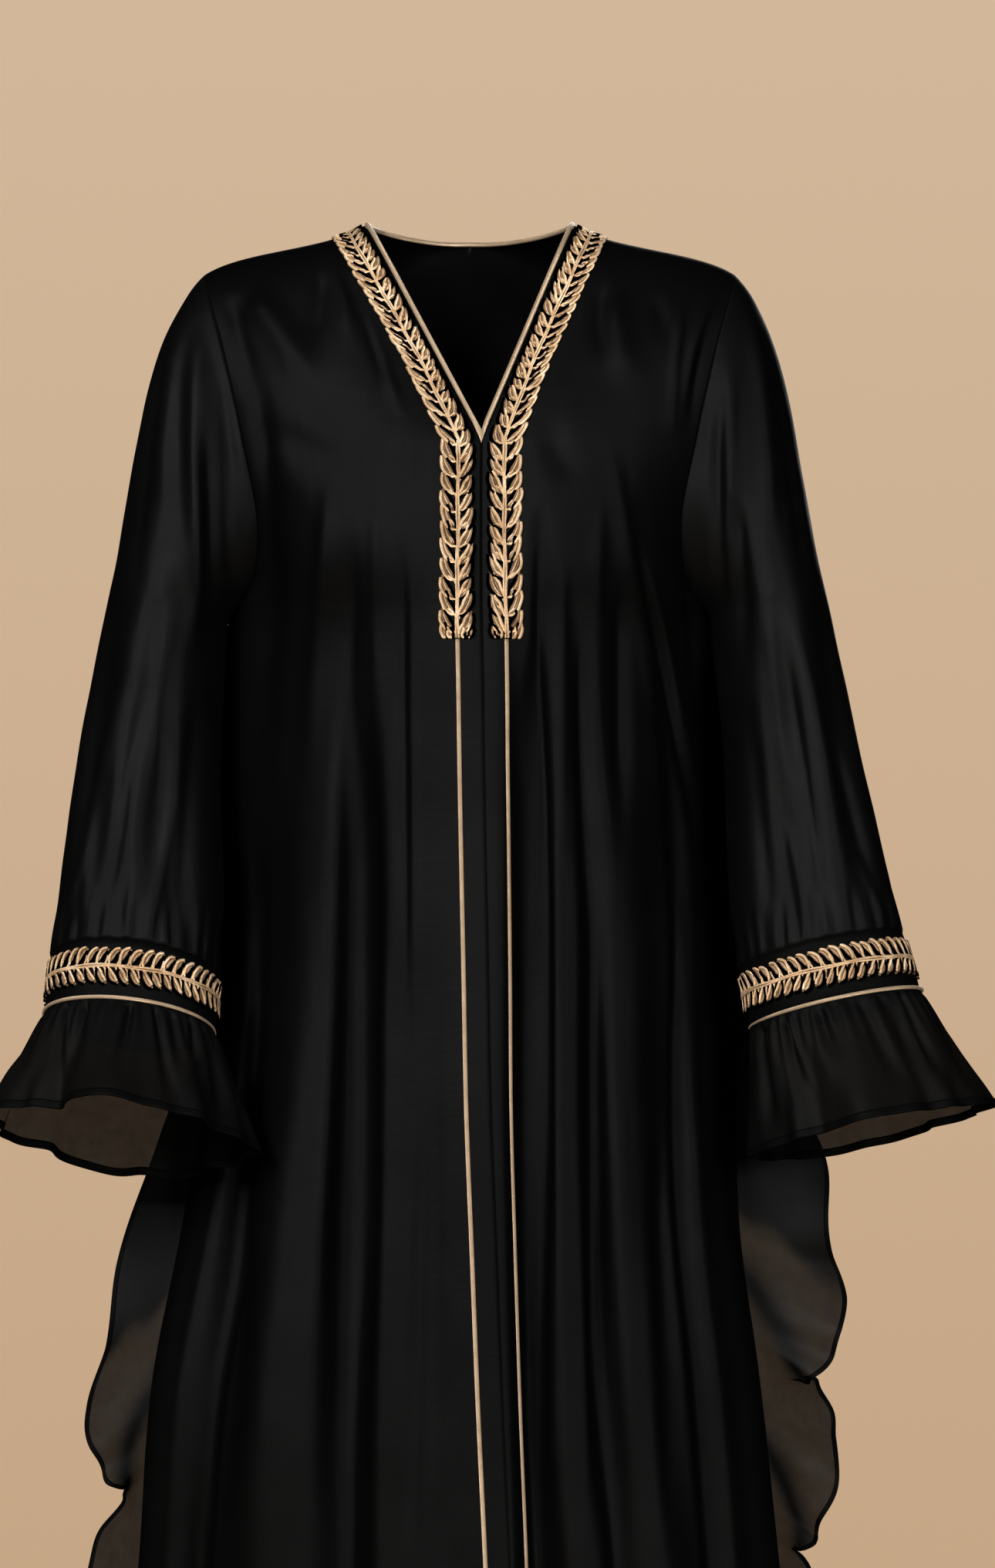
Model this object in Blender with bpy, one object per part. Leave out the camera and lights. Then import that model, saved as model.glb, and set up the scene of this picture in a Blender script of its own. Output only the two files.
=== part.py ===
"""An open-front black abaya with gold embroidery, held in the shape it has when worn.

Metres, +Z up, the front faces -Y and the wearer's right is at -X. The origin lies midway
between the two highest points of the shoulder seams. "Drop" is the distance below it.
"""

import math
from itertools import product

import bpy
import numpy as np


def table(names, *rows):
    """Columns of a small table, by name."""
    columns = zip(*rows)
    return {name: np.array(column, float) for name, column in zip(names.split(), columns)}


WALL = 0.0015
SHEER_WALL = 0.0012
SEAM_GAP = 0.0003
SKIN_GAP = 0.0004
HEM_DROP = 1.42
UNDERARM_DROP = 0.287
SIDES = {"right": -1, "left": 1}
FRONT = -1
BACK = 1

# The V neck: the panel edge runs from the shoulder's high point to the V point.
NECK_HALF_WIDTH = 0.0785
V_POINT = (0.0092, -0.1055, -0.168)
NECK_ROLL = 0.038
NECK_ROLL_SHARE = 0.25
BACK_NECK_DEPTH = 0.060
BACK_NECK_DROP = 0.008
BACK_NECK_END = 5 / 12

ARMHOLE = table(
    "angle x",
    (0, 0.198),
    (30, 0.193),
    (60, 0.180),
    (90, 0.166),
    (120, 0.155),
    (150, 0.161),
    (165, 0.1695),
    (180, 0.174),
)
SHOULDER_TIP_DROP = 0.037
ARMHOLE_REACH = {FRONT: 0.070, BACK: 0.066}

# Body sections below the underarm. The front edges meet at opening_x. Behind the sleeves
# the side seam sits back by side_y, and the section slopes in to it by side_in.
TORSO = table(
    "drop half_width front back opening_x axis_x side_y side_in",
    (0.287, 0.174, 0.124, 0.108, 0.009, 0.000, 0.000, 0.000),
    (0.330, 0.184, 0.125, 0.110, 0.010, 0.000, 0.018, 0.014),
    (0.400, 0.191, 0.127, 0.115, 0.011, 0.001, 0.034, 0.030),
    (0.550, 0.198, 0.135, 0.130, 0.014, 0.005, 0.036, 0.036),
    (0.650, 0.200, 0.142, 0.138, 0.016, 0.000, 0.024, 0.026),
    (0.750, 0.209, 0.149, 0.150, 0.020, -0.007, 0.010, 0.010),
    (0.850, 0.225, 0.156, 0.160, 0.024, -0.010, 0.000, 0.000),
    (1.000, 0.239, 0.165, 0.175, 0.031, -0.008, 0.000, 0.000),
    (1.200, 0.259, 0.178, 0.190, 0.036, -0.008, 0.000, 0.000),
    (1.420, 0.282, 0.190, 0.205, 0.040, -0.008, 0.000, 0.000),
)
CENTRE_FRONT = table(
    "drop depth opening_x",
    (0.168, 0.1055, 0.0092),
    (0.200, 0.114, 0.0090),
    (0.250, 0.121, 0.0090),
    (0.287, 0.124, 0.0090),
)
CENTRE_BACK = table(
    "drop depth",
    (0.008, 0.060),
    (0.060, 0.083),
    (0.120, 0.098),
    (0.200, 0.106),
    (0.287, 0.108),
)

# Leads of the curve across each row, from the front or back edge to the armhole.
FRONT_LEADS = table(
    "place in_x in_y in_z out_x out_y out_z",
    (0.00, 0.025, 0.000, -0.019, -0.028, 0.000, 0.0195),
    (0.15, 0.032, -0.004, -0.013, -0.034, -0.006, 0.015),
    (0.50, 0.050, -0.016, 0.000, -0.048, -0.036, 0.002),
    (0.75, 0.052, -0.016, 0.000, -0.030, -0.062, 0.000),
    (1.00, 0.060, -0.012, 0.000, 0.000, -0.052, 0.000),
)
BACK_LEADS = table(
    "place in_x in_y in_z out_x out_y out_z",
    (0.00, 0.025, 0.000, -0.019, -0.028, 0.000, 0.0195),
    (0.20, 0.032, 0.006, -0.013, -0.036, 0.010, 0.016),
    (0.40, 0.050, 0.005, -0.005, -0.045, 0.030, 0.030),
    (0.70, 0.055, 0.004, -0.010, -0.035, 0.050, 0.030),
    (1.00, 0.060, 0.010, 0.000, 0.000, 0.045, 0.000),
)
LEAD_IN_SHARE = 0.36
LEAD_OUT_SHARES = (0.42, 0.70)
LEAD_OUT_DROPS = (0.287, 0.45)
BUST_LEAD = {FRONT: -0.012, BACK: 0.010}
BUST_LEAD_FADE = 0.11

# Folds fan out down the body. Places are signed shares of a quarter of the girth, minus
# on the wearer's right. A positive depth is a valley, a negative one a ridge.
FRONT_FOLDS = table(
    "at_bust at_hem half_width depth start",
    (-0.34, -0.36, 0.085, 0.026, 0.33),
    (-0.70, -0.73, 0.080, 0.024, 0.45),
    (0.13, 0.05, 0.080, 0.028, 0.28),
    (0.31, 0.27, 0.060, 0.014, 0.30),
    (0.64, 0.54, 0.070, 0.014, 0.28),
    (-0.52, -0.53, 0.120, -0.010, 0.40),
    (0.42, 0.40, 0.100, -0.008, 0.40),
    (-0.86, -0.86, 0.070, -0.008, 0.60),
    (0.80, 0.80, 0.110, -0.009, 0.60),
)
BACK_FOLDS = table(
    "at_bust at_hem half_width depth start",
    (-0.72, -0.76, 0.110, 0.024, 0.42),
    (-0.44, -0.47, 0.100, 0.020, 0.47),
    (-0.14, -0.17, 0.100, 0.026, 0.38),
    (0.13, 0.15, 0.090, 0.022, 0.44),
    (0.40, 0.44, 0.110, 0.026, 0.40),
    (0.70, 0.74, 0.100, 0.021, 0.46),
    (-0.30, -0.32, 0.090, -0.009, 0.50),
    (0.27, 0.29, 0.090, -0.009, 0.50),
)
FOLD_GROWTH = 0.25
FOLD_FAN_START = 0.20
FOLD_SIDE_FADE = (0.88, 0.97)
FOLD_CENTRE_BLEND = 0.10

# Columns of a front panel: the edge, then the edges and middle of the trim.
TRIM_COLUMNS = (0.0, 0.0045, 0.0175, 0.0305)
PLAIN_COLUMNS = 14
ARM_STEPS = 12
LOWER_DROPS = (0.335, 0.40, 0.48, 0.57, 0.67, 0.78, 0.90, 1.03, 1.16, 1.29, 1.42)
BACK_EVEN_PLACE = 0.25

# Sleeve sections from the upper arm to the cuff seam, x outward from the body. Leans are
# in degrees: how far the outer side, and the front, are lifted.
SLEEVES = {
    "right": table(
        "x y z half_width half_depth side_lean front_lean",
        (0.225, -0.002, -0.278, 0.044, 0.078, 28.0, 0.0),
        (0.238, -0.014, -0.385, 0.050, 0.074, 16.0, 6.0),
        (0.242, -0.040, -0.470, 0.056, 0.066, 9.0, 15.0),
        (0.244, -0.067, -0.550, 0.0615, 0.055, 5.7, 24.0),
    ),
    "left": table(
        "x y z half_width half_depth side_lean front_lean",
        (0.2225, 0.000, -0.275, 0.0435, 0.078, 28.0, 0.0),
        (0.238, -0.008, -0.372, 0.046, 0.076, 16.0, 4.0),
        (0.249, -0.024, -0.462, 0.054, 0.068, 13.0, 8.0),
        (0.258, -0.049, -0.539, 0.061, 0.055, 12.0, 13.0),
    ),
}
SLEEVE_UPPER_STEPS = 4
SLEEVE_LOWER_STEPS = 6
SLEEVE_TOP_LEAD = {"right": (0.73, 0.0, -0.68), "left": (0.70, 0.0, -0.72)}
SLEEVE_UNDER_LEAD = (0.85, 0.0, -0.53)
SLEEVE_FRONT_LEAD = 0.25
SLEEVE_LEAD_SHARES = {"right": (0.83, 0.5), "left": (0.75, 0.5)}
SLEEVE_FOLD_POWER = 0.8
# Folds of the lower sleeves: angle from the outer side towards the front, in degrees.
SLEEVE_FOLDS = table(
    "at_top at_cuff half_width depth",
    (40, 62, 26, 0.007),
    (95, 118, 24, 0.008),
    (230, 250, 28, 0.008),
    (318, 300, 26, 0.006),
)

# The cuff seam ring and the ruffle's hem ring of each arm.
CUFFS = {
    "right": table(
        "x y z half_width half_depth side_lean front_lean",
        (0.2460, -0.085, -0.591, 0.0615, 0.0505, 5.7, 24.0),
        (0.2480, -0.118, -0.6705, 0.0940, 0.0790, 5.7, 24.0),
    ),
    "left": table(
        "x y z half_width half_depth side_lean front_lean",
        (0.2680, -0.058, -0.582, 0.0635, 0.0505, 12.0, 13.0),
        (0.2910, -0.082, -0.670, 0.0870, 0.0780, 12.0, 13.0),
    ),
}
CUFF_COLUMNS = 60
RUFFLE_ROWS = 3
GATHERS = 20
GATHER_DEPTH = 0.0025
GATHER_REACH = 0.8
FLARE_POWER = 0.85
SWAY_POWER = 1.3
# Waves of each ruffle's hem: a positive depth swings outward.
RUFFLE_WAVES = {
    "right": table(
        "angle half_width depth",
        (20, 34, 0.006),
        (52, 22, -0.018),
        (90, 30, 0.006),
        (140, 26, -0.008),
        (215, 30, -0.008),
        (270, 34, 0.006),
        (320, 28, -0.009),
    ),
    "left": table(
        "angle half_width depth",
        (15, 32, 0.005),
        (50, 26, -0.010),
        (85, 28, 0.005),
        (125, 26, -0.009),
        (205, 30, -0.008),
        (265, 34, 0.006),
        (315, 28, -0.009),
    ),
}

# Side flounces, from hip to hem along each side seam. A notch is where the edge turns in.
# How far each flounce's hem stands out from the side seam, by the distance down.
FLOUNCE_REACH = {
    "right": table(
        "drop reach",
        (0.600, 0.000),
        (0.660, 0.022),
        (0.720, 0.036),
        (0.775, 0.042),
        (0.829, 0.042),
        (0.868, 0.049),
        (0.902, 0.032),
        (0.929, 0.016),
        (0.957, 0.017),
        (0.990, 0.034),
        (1.030, 0.046),
        (1.070, 0.040),
        (1.105, 0.022),
        (1.140, 0.030),
        (1.185, 0.048),
        (1.230, 0.040),
        (1.270, 0.022),
        (1.310, 0.036),
        (1.350, 0.034),
        (1.380, 0.020),
    ),
    "left": table(
        "drop reach",
        (0.600, 0.000),
        (0.650, 0.045),
        (0.702, 0.069),
        (0.754, 0.070),
        (0.779, 0.076),
        (0.806, 0.062),
        (0.832, 0.043),
        (0.854, 0.037),
        (0.888, 0.056),
        (0.936, 0.038),
        (0.958, 0.030),
        (0.982, 0.016),
        (1.010, 0.022),
        (1.050, 0.046),
        (1.090, 0.052),
        (1.130, 0.030),
        (1.165, 0.024),
        (1.210, 0.048),
        (1.250, 0.050),
        (1.290, 0.026),
        (1.330, 0.034),
        (1.380, 0.022),
    ),
}
FLOUNCE_CELLS = 3
FLOUNCE_SEAM_GAP = 0.0005
FLOUNCE_FALL = 0.30
FLOUNCE_SWING = 0.026
FLOUNCE_STEEP = 0.55
FLOUNCE_STEP = 0.006
FLOUNCE_SWING_POWER = 1.2
FLOUNCE_BACK_SET = 0.012

TRIM_END_DROP = 0.312
TRIM_STEP = 0.0065
TRIM_THICKNESS = 0.0010
TRIM_RELIEF = 0.0005
TRIM_SCALLOP = 0.18
CORD_HALF_WIDTH = 0.0016
CORD_THICKNESS = 0.0014
NECK_PIPING_RADIUS = 0.0020
CUFF_PIPING_RADIUS = 0.00175
CUFF_PIPING_RISE = 0.0010
CUFF_TRIM_SPAN = (0.12, 0.80)
CUFF_TRIM_SCALLOP = 0.09

BLACK = (0.006, 0.006, 0.007, 1.0)
SHEER_BLACK = (0.012, 0.011, 0.011, 1.0)
GOLD = (0.38, 0.25, 0.12, 1.0)


def smooth(at, keys, values):
    """A cubic curve through a table's points, its keys rising, read at one or more places."""
    slopes = np.gradient(values, keys)
    at = np.clip(at, keys[0], keys[-1])
    place = np.clip(np.searchsorted(keys, at) - 1, 0, len(keys) - 2)
    step = keys[place + 1] - keys[place]
    t = (at - keys[place]) / step
    start = (1 + 2 * t) * (1 - t) ** 2 * values[place] + t * (1 - t) ** 2 * step * slopes[place]
    end = t * t * (3 - 2 * t) * values[place + 1] - t * t * (1 - t) * step * slopes[place + 1]
    return start + end


def ease(low, high, at):
    """A soft step from 0 to 1."""
    t = np.clip((at - low) / (high - low), 0, 1)
    return t * t * (3 - 2 * t)


def bell(distance):
    """1 at the middle and 0 from a distance of 1 outward."""
    return 0.5 + 0.5 * np.cos(np.pi * np.clip(distance, -1, 1))


def unit(vectors):
    return vectors / np.linalg.norm(vectors, axis=-1, keepdims=True)


def read(columns, name, at):
    return smooth(at, columns["drop"], columns[name])


def armhole(side, face, place):
    """A point of the armhole seam, at a place from 0 at the shoulder to 1 under the arm."""
    angle = math.pi * place
    x = smooth(math.degrees(angle), ARMHOLE["angle"], ARMHOLE["x"])
    y = face * ARMHOLE_REACH[face] * math.sin(angle)
    fall = (UNDERARM_DROP - SHOULDER_TIP_DROP) * (1 - math.cos(angle)) / 2
    return np.array([side * x, y, -SHOULDER_TIP_DROP - fall])


def front_edge(side, place):
    """A point of a front panel's edge above the underarm: the V, then the centre front."""
    share = 1 - math.cos(math.pi * place)
    if share <= 1:
        roll = math.sqrt(1 - (1 - min(share / NECK_ROLL_SHARE, 1)) ** 2)
        x = side * NECK_HALF_WIDTH * (1 - share) + V_POINT[0] * share
        y = -NECK_ROLL * roll + (V_POINT[1] + NECK_ROLL) * share
        return np.array([x, y, V_POINT[2] * share])
    drop = -V_POINT[2] + (UNDERARM_DROP + V_POINT[2]) * (share - 1)
    x = read(CENTRE_FRONT, "opening_x", drop)
    return np.array([x, -read(CENTRE_FRONT, "depth", drop), -drop])


def back_edge(side, place):
    """A point of half the back's edge above the underarm: the neckline, then the centre."""
    if place <= BACK_NECK_END:
        angle = math.pi / 2 * place / BACK_NECK_END
        x = side * NECK_HALF_WIDTH * math.cos(angle)
        if place == BACK_NECK_END:
            x = 0.0
        y = BACK_NECK_DEPTH * math.sin(angle)
        return np.array([x, y, -BACK_NECK_DROP * math.sin(angle) ** 2])
    share = (place - BACK_NECK_END) / (1 - BACK_NECK_END)
    drop = BACK_NECK_DROP + (UNDERARM_DROP - BACK_NECK_DROP) * share
    return np.array([0.0, read(CENTRE_BACK, "depth", drop), -drop])


def row_ends(side, face, place):
    """Ends and leads of one row of a quarter of the body. Places over 1 are below the arm."""
    if place <= 1:
        edge = front_edge if face == FRONT else back_edge
        leads = FRONT_LEADS if face == FRONT else BACK_LEADS
        names = ("in_x", "in_y", "in_z", "out_x", "out_y", "out_z")
        lead = np.array([smooth(place, leads["place"], leads[name]) for name in names])
        turn = np.array([side, 1, 1])
        return edge(side, place), lead[:3] * turn, lead[3:] * turn, armhole(side, face, place)
    drop = UNDERARM_DROP + (HEM_DROP - UNDERARM_DROP) * (place - 1)
    axis = read(TORSO, "axis_x", drop)
    half = read(TORSO, "half_width", drop)
    depth = face * read(TORSO, "front" if face == FRONT else "back", drop)
    inner_x = read(TORSO, "opening_x", drop) if face == FRONT else axis
    fade = 1 - ease(UNDERARM_DROP, UNDERARM_DROP + BUST_LEAD_FADE, drop)
    outer_x = axis + side * half
    lead_in = np.array([LEAD_IN_SHARE * (outer_x - inner_x), BUST_LEAD[face] * fade, 0])
    round_off = ease(*LEAD_OUT_DROPS, drop)
    share = LEAD_OUT_SHARES[0] + (LEAD_OUT_SHARES[1] - LEAD_OUT_SHARES[0]) * round_off
    side_y = read(TORSO, "side_y", drop)
    lead_out = np.array([-side * read(TORSO, "side_in", drop), share * (depth - side_y), 0])
    outer = np.array([outer_x, side_y, -drop])
    return np.array([inner_x, depth, -drop]), lead_in, lead_out, outer


def bezier(start, lead_in, lead_out, end, count=160):
    t = np.linspace(0, 1, count)[:, None]
    near = (1 - t) ** 3 * start + 3 * (1 - t) ** 2 * t * (start + lead_in)
    return near + 3 * (1 - t) * t**2 * (end + lead_out) + t**3 * end


def spread(curve, shares):
    """Points at shares of a curve's length."""
    steps = np.linalg.norm(np.diff(curve, axis=0), axis=1)
    along = np.concatenate([[0], np.cumsum(steps)])
    return np.stack([np.interp(shares * along[-1], along, axis) for axis in curve.T], axis=1)


def curve_length(curve):
    return np.linalg.norm(np.diff(curve, axis=0), axis=1).sum()


def column_shares(face, place, length):
    """Where the columns cross a row, as shares of its length."""
    plain = np.linspace(TRIM_COLUMNS[-1], length, PLAIN_COLUMNS + 1)[1:]
    shares = np.concatenate([TRIM_COLUMNS, plain]) / length
    if face == FRONT:
        return shares
    even = np.linspace(0, 1, len(shares))
    blend = ease(0, BACK_EVEN_PLACE, place)
    return shares * (1 - blend) + even * blend


def fold_depth(folds, girth, drop):
    """How far the folds push the cloth in, at signed shares of a quarter of the girth."""
    fan = np.clip((drop - FOLD_FAN_START) / (HEM_DROP - FOLD_FAN_START), 0, 1)
    total = np.zeros_like(girth)
    names = ("at_bust", "at_hem", "half_width", "depth", "start")
    for at_bust, at_hem, half, depth, start in zip(*(folds[name] for name in names)):
        centre = at_bust + (at_hem - at_bust) * fan
        growth = 1 - np.exp(-np.maximum(drop - start, 0) / FOLD_GROWTH)
        total += depth * growth * bell((girth - centre) / half)
    return total


def fold_row(points, shares, side, face):
    """Moves one row of a quarter in and out by the body's folds."""
    folds = FRONT_FOLDS if face == FRONT else BACK_FOLDS
    depth = fold_depth(folds, side * shares, -points[:, 2])
    depth *= 1 - ease(*FOLD_SIDE_FADE, shares)
    along = np.gradient(points[:, :2], axis=0)
    outward = np.stack([along[:, 1], -along[:, 0]], axis=1) * -side * face
    middle = (1 - ease(0, FOLD_CENTRE_BLEND, shares))[:, None]
    outward = unit(unit(outward) * (1 - middle) + np.array([0, face]) * middle)
    moved = points.copy()
    moved[:, :2] -= outward * depth[:, None]
    return moved


def body_quarter(side, face):
    """The grid of a front panel or of half the back: rows down, columns out to the side."""
    places = [step / ARM_STEPS for step in range(ARM_STEPS + 1)]
    span = HEM_DROP - UNDERARM_DROP
    places += [1 + (drop - UNDERARM_DROP) / span for drop in LOWER_DROPS]
    rows = []
    for place in places:
        curve = bezier(*row_ends(side, face, place))
        shares = column_shares(face, place, curve_length(curve))
        rows.append(fold_row(spread(curve, shares), shares, side, face))
    return np.array(rows)


def ring(side, section, angles):
    """A leaning oval. Angles run from the outer side to the front."""
    x, y, z, half_width, half_depth, side_lean, front_lean = section
    side_lean = math.radians(side_lean)
    front_lean = math.radians(front_lean)
    across = np.array([side * math.cos(side_lean), 0, math.sin(side_lean)])
    ahead = np.array([0, -math.cos(front_lean), math.sin(front_lean)])
    centre = np.array([side * x, y, z])
    reach = half_width * np.cos(angles)[:, None] * across
    return centre + reach + half_depth * np.sin(angles)[:, None] * ahead


def ring_axis(side, section):
    """The direction down the arm, square to a ring."""
    side_lean = math.radians(section[5])
    front_lean = math.radians(section[6])
    across = np.array([side * math.cos(side_lean), 0, math.sin(side_lean)])
    ahead = np.array([0, -math.cos(front_lean), math.sin(front_lean)])
    return unit(side * np.cross(across, ahead))


def sections_of(columns):
    return np.stack(list(columns.values()), axis=1)


def angle_gap(a, b):
    """Distance between angles in degrees, the short way round."""
    return np.abs((a - b + 180) % 360 - 180)


def sleeve_grid(name):
    """Rings of a sleeve, from the armhole to the cuff band."""
    side = SIDES[name]
    count = 2 * ARM_STEPS
    angles = np.linspace(0, 2 * math.pi, count, endpoint=False)
    first = []
    for column in range(count):
        behind = column > ARM_STEPS
        place = (count - column if behind else column) / ARM_STEPS
        first.append(armhole(side, BACK if behind else FRONT, place))
    first = np.array(first)
    sections = sections_of(SLEEVES[name])
    second = ring(side, sections[0], angles)
    third = ring(side, sections[1], angles)
    under = ((1 - np.cos(angles)) / 2)[:, None]
    lead = np.array(SLEEVE_TOP_LEAD[name]) * (1 - under) + np.array(SLEEVE_UNDER_LEAD) * under
    lead = lead * np.array([side, 1, 1])
    lead[:, 1] -= SLEEVE_FRONT_LEAD * np.sin(angles)
    reach = np.linalg.norm(second - first, axis=1, keepdims=True)
    over, below = SLEEVE_LEAD_SHARES[name]
    lead = unit(lead) * reach * (over * (1 - under) + below * under)
    follow = unit(third - second) * reach
    rows = []
    for t in np.linspace(0, 1, SLEEVE_UPPER_STEPS + 1):
        start = (1 + 2 * t) * (1 - t) ** 2 * first + t * (1 - t) ** 2 * lead
        end = t * t * (3 - 2 * t) * second - t * t * (1 - t) * follow
        rows.append(start + end)
    keys = np.arange(len(sections), dtype=float)
    places = np.linspace(0, keys[-1], SLEEVE_LOWER_STEPS + 1)
    for place in places[1:]:
        section = [smooth(place, keys, column) for column in sections.T]
        loop = ring(side, section, angles)
        share = place / keys[-1]
        inward = unit(loop - np.array([side * section[0], section[1], section[2]]))
        strength = math.sin(math.pi * share**SLEEVE_FOLD_POWER)
        degrees = np.degrees(angles)
        for top, low, half, depth in zip(*SLEEVE_FOLDS.values()):
            centre = top + (low - top) * share
            loop = loop - inward * (depth * strength * bell(angle_gap(degrees, centre) / half))[:, None]
        rows.append(loop)
    return np.array(rows)


def cuff_angles():
    return np.linspace(0, 2 * math.pi, CUFF_COLUMNS, endpoint=False)


def cuff_grid(name):
    """The two rings of a cuff band."""
    top = sections_of(SLEEVES[name])[-1]
    seam = sections_of(CUFFS[name])[0]
    angles = cuff_angles()
    return np.array([ring(SIDES[name], section, angles) for section in (top, seam)])


def ruffle_grid(name):
    """Rings of a cuff ruffle, gathered at the seam and waving at the hem."""
    side = SIDES[name]
    seam, hem = sections_of(CUFFS[name])
    angles = cuff_angles()
    degrees = np.degrees(angles)
    waves = RUFFLE_WAVES[name]
    sway = np.zeros(CUFF_COLUMNS)
    for angle, half, depth in zip(*waves.values()):
        sway += depth * bell(angle_gap(degrees, angle) / half)
    rows = []
    for t in np.linspace(0, 1, RUFFLE_ROWS + 1):
        section = seam + (hem - seam) * t
        section[3:5] = seam[3:5] + (hem[3:5] - seam[3:5]) * t**FLARE_POWER
        loop = ring(side, section, angles)
        outward = unit(loop - np.array([side * section[0], section[1], section[2]]))
        swell = math.sin(math.pi * min(t, GATHER_REACH))
        gather = GATHER_DEPTH * swell * np.cos(GATHERS * angles)
        rows.append(loop + outward * (gather + sway * t**SWAY_POWER)[:, None])
    return np.array(rows)


def key(point):
    return tuple(np.round(point * 1e5).astype(int))


def join_grids(grids):
    """One layer from grids given as (points, wrap, flip), equal points made one."""
    numbers = {}
    points = []
    triangles = []
    for grid, wrap, flip in grids:
        rows, columns = grid.shape[:2]
        index = np.empty((rows, columns), int)
        for i, j in product(range(rows), range(columns)):
            place = key(grid[i, j])
            if place not in numbers:
                numbers[place] = len(points)
                points.append(grid[i, j])
            index[i, j] = numbers[place]
        for i, j in product(range(rows - 1), range(columns if wrap else columns - 1)):
            after = (j + 1) % columns
            corners = (index[i, j], index[i, after], index[i + 1, after], index[i + 1, j])
            for triple in ((0, 1, 2), (0, 2, 3)):
                triangle = [corners[corner] for corner in triple]
                if len(set(triangle)) == 3:
                    triangles.append(triangle[::-1] if flip else triangle)
    return np.array(points), np.array(triangles)


def vertex_normals(points, triangles):
    corners = points[triangles]
    faces = np.cross(corners[:, 1] - corners[:, 0], corners[:, 2] - corners[:, 0])
    total = np.zeros_like(points)
    for corner in range(3):
        np.add.at(total, triangles[:, corner], faces)
    return unit(total)


def share_normals(layers):
    """Normals by place, so that pieces that meet in a seam turn their edges together.

    Where pieces meet at a sharp angle, the wall is made longer along the shared normal.
    """
    found = {}
    for points, triangles in layers:
        for point, normal in zip(points, vertex_normals(points, triangles)):
            found.setdefault(key(point), []).append(normal)
    shared = {}
    for place, normals in found.items():
        total = np.sum(normals, axis=0)
        length = np.linalg.norm(total)
        stretch = min(len(normals) / length, 1.5)
        shared[place] = (total / length, stretch)
    return shared


def border_edges(triangles):
    """Edges of one triangle only, in that triangle's direction."""
    count = {}
    for a, b, c in triangles:
        for edge in ((a, b), (b, c), (c, a)):
            count[tuple(sorted(edge))] = count.get(tuple(sorted(edge)), 0) + 1
    edges = []
    for a, b, c in triangles:
        for edge in ((a, b), (b, c), (c, a)):
            if count[tuple(sorted(edge))] == 1:
                edges.append(edge)
    return edges


def pull_from_seams(points, edges, normals, seam_places):
    """Moves each point of a seam back from it by half the seam gap."""
    inward = {}
    for a, b in edges:
        if key(points[a]) not in seam_places or key(points[b]) not in seam_places:
            continue
        for end in (a, b):
            across = np.cross(normals[end], points[b] - points[a])
            inward.setdefault(end, []).append(unit(across))
    moved = points.copy()
    for number, ways in inward.items():
        total = np.sum(ways, axis=0)
        moved[number] += total * (SEAM_GAP / 2 * len(ways) / (total @ total))
    return moved


def make_material(name, colour):
    material = bpy.data.materials.new(name)
    material.use_nodes = True
    shader = material.node_tree.nodes["Principled BSDF"]
    shader.inputs["Base Color"].default_value = colour
    shader.inputs["Roughness"].default_value = 0.6
    return material


def make_object(name, points, triangles, colour):
    """A mesh object from a closed surface, its faces turned outward."""
    triangles = np.asarray(triangles)
    corners = points[triangles]
    if np.einsum("ij,ij->", corners[:, 0], np.cross(corners[:, 1], corners[:, 2])) < 0:
        triangles = triangles[:, ::-1]
    mesh = bpy.data.meshes.new(name)
    mesh.from_pydata(points.tolist(), [], triangles.tolist())
    mesh.update()
    mesh.materials.append(make_material(name + "_cloth", colour))
    made = bpy.data.objects.new(name, mesh)
    bpy.context.scene.collection.objects.link(made)
    return made


def make_walled(name, layer, shared, seam_places, wall, colour):
    """A closed solid from a layer: the layer is its outer side, the wall goes inward."""
    points, triangles = layer
    normals = np.array([shared[key(point)][0] for point in points])
    depths = np.array([shared[key(point)][1] * wall for point in points])
    edges = border_edges(triangles)
    outer = pull_from_seams(points, edges, normals, seam_places)
    inner = outer - normals * depths[:, None]
    count = len(points)
    faces = [list(triangle) for triangle in triangles]
    faces += [[a + count, c + count, b + count] for a, b, c in triangles]
    # Pieces that share an edge split its side the same way, so they don't cross there.
    for a, b in edges:
        if key(points[a]) < key(points[b]):
            faces += [[b, a, b + count], [a, a + count, b + count]]
        else:
            faces += [[b, a, a + count], [b, a + count, b + count]]
    return make_object(name, np.concatenate([outer, inner]), faces, colour)


def make_skin(name, low, high, wrap, colour):
    """A closed solid between two grids of the same size, one laid over the other."""
    layer, triangles = join_grids([(low, wrap, False)])
    upper = high.reshape(-1, 3)
    count = len(layer)
    faces = [[c, b, a] for a, b, c in triangles]
    faces += [[a + count, b + count, c + count] for a, b, c in triangles]
    for a, b in border_edges(triangles):
        faces.append([a, b, b + count])
        faces.append([a, b + count, a + count])
    return make_object(name, np.concatenate([low.reshape(-1, 3), upper]), faces, colour)


def on_panel(grid, normals, row, column):
    """The point and normal at a place between a panel's grid lines, on its triangles."""
    i = min(int(row), grid.shape[0] - 2)
    j = min(int(column), grid.shape[1] - 2)
    u = row - i
    v = column - j
    found = []
    for field in (grid, normals):
        a, b = field[i, j], field[i, j + 1]
        d, c = field[i + 1, j], field[i + 1, j + 1]
        if v >= u:
            found.append(a + (b - a) * v + (c - b) * u)
        else:
            found.append(a + (d - a) * u + (c - d) * v)
    return found[0], unit(found[1])


def row_at_drop(grid, column, drop):
    return float(np.interp(drop, -grid[:, column, 2], np.arange(len(grid))))


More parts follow.
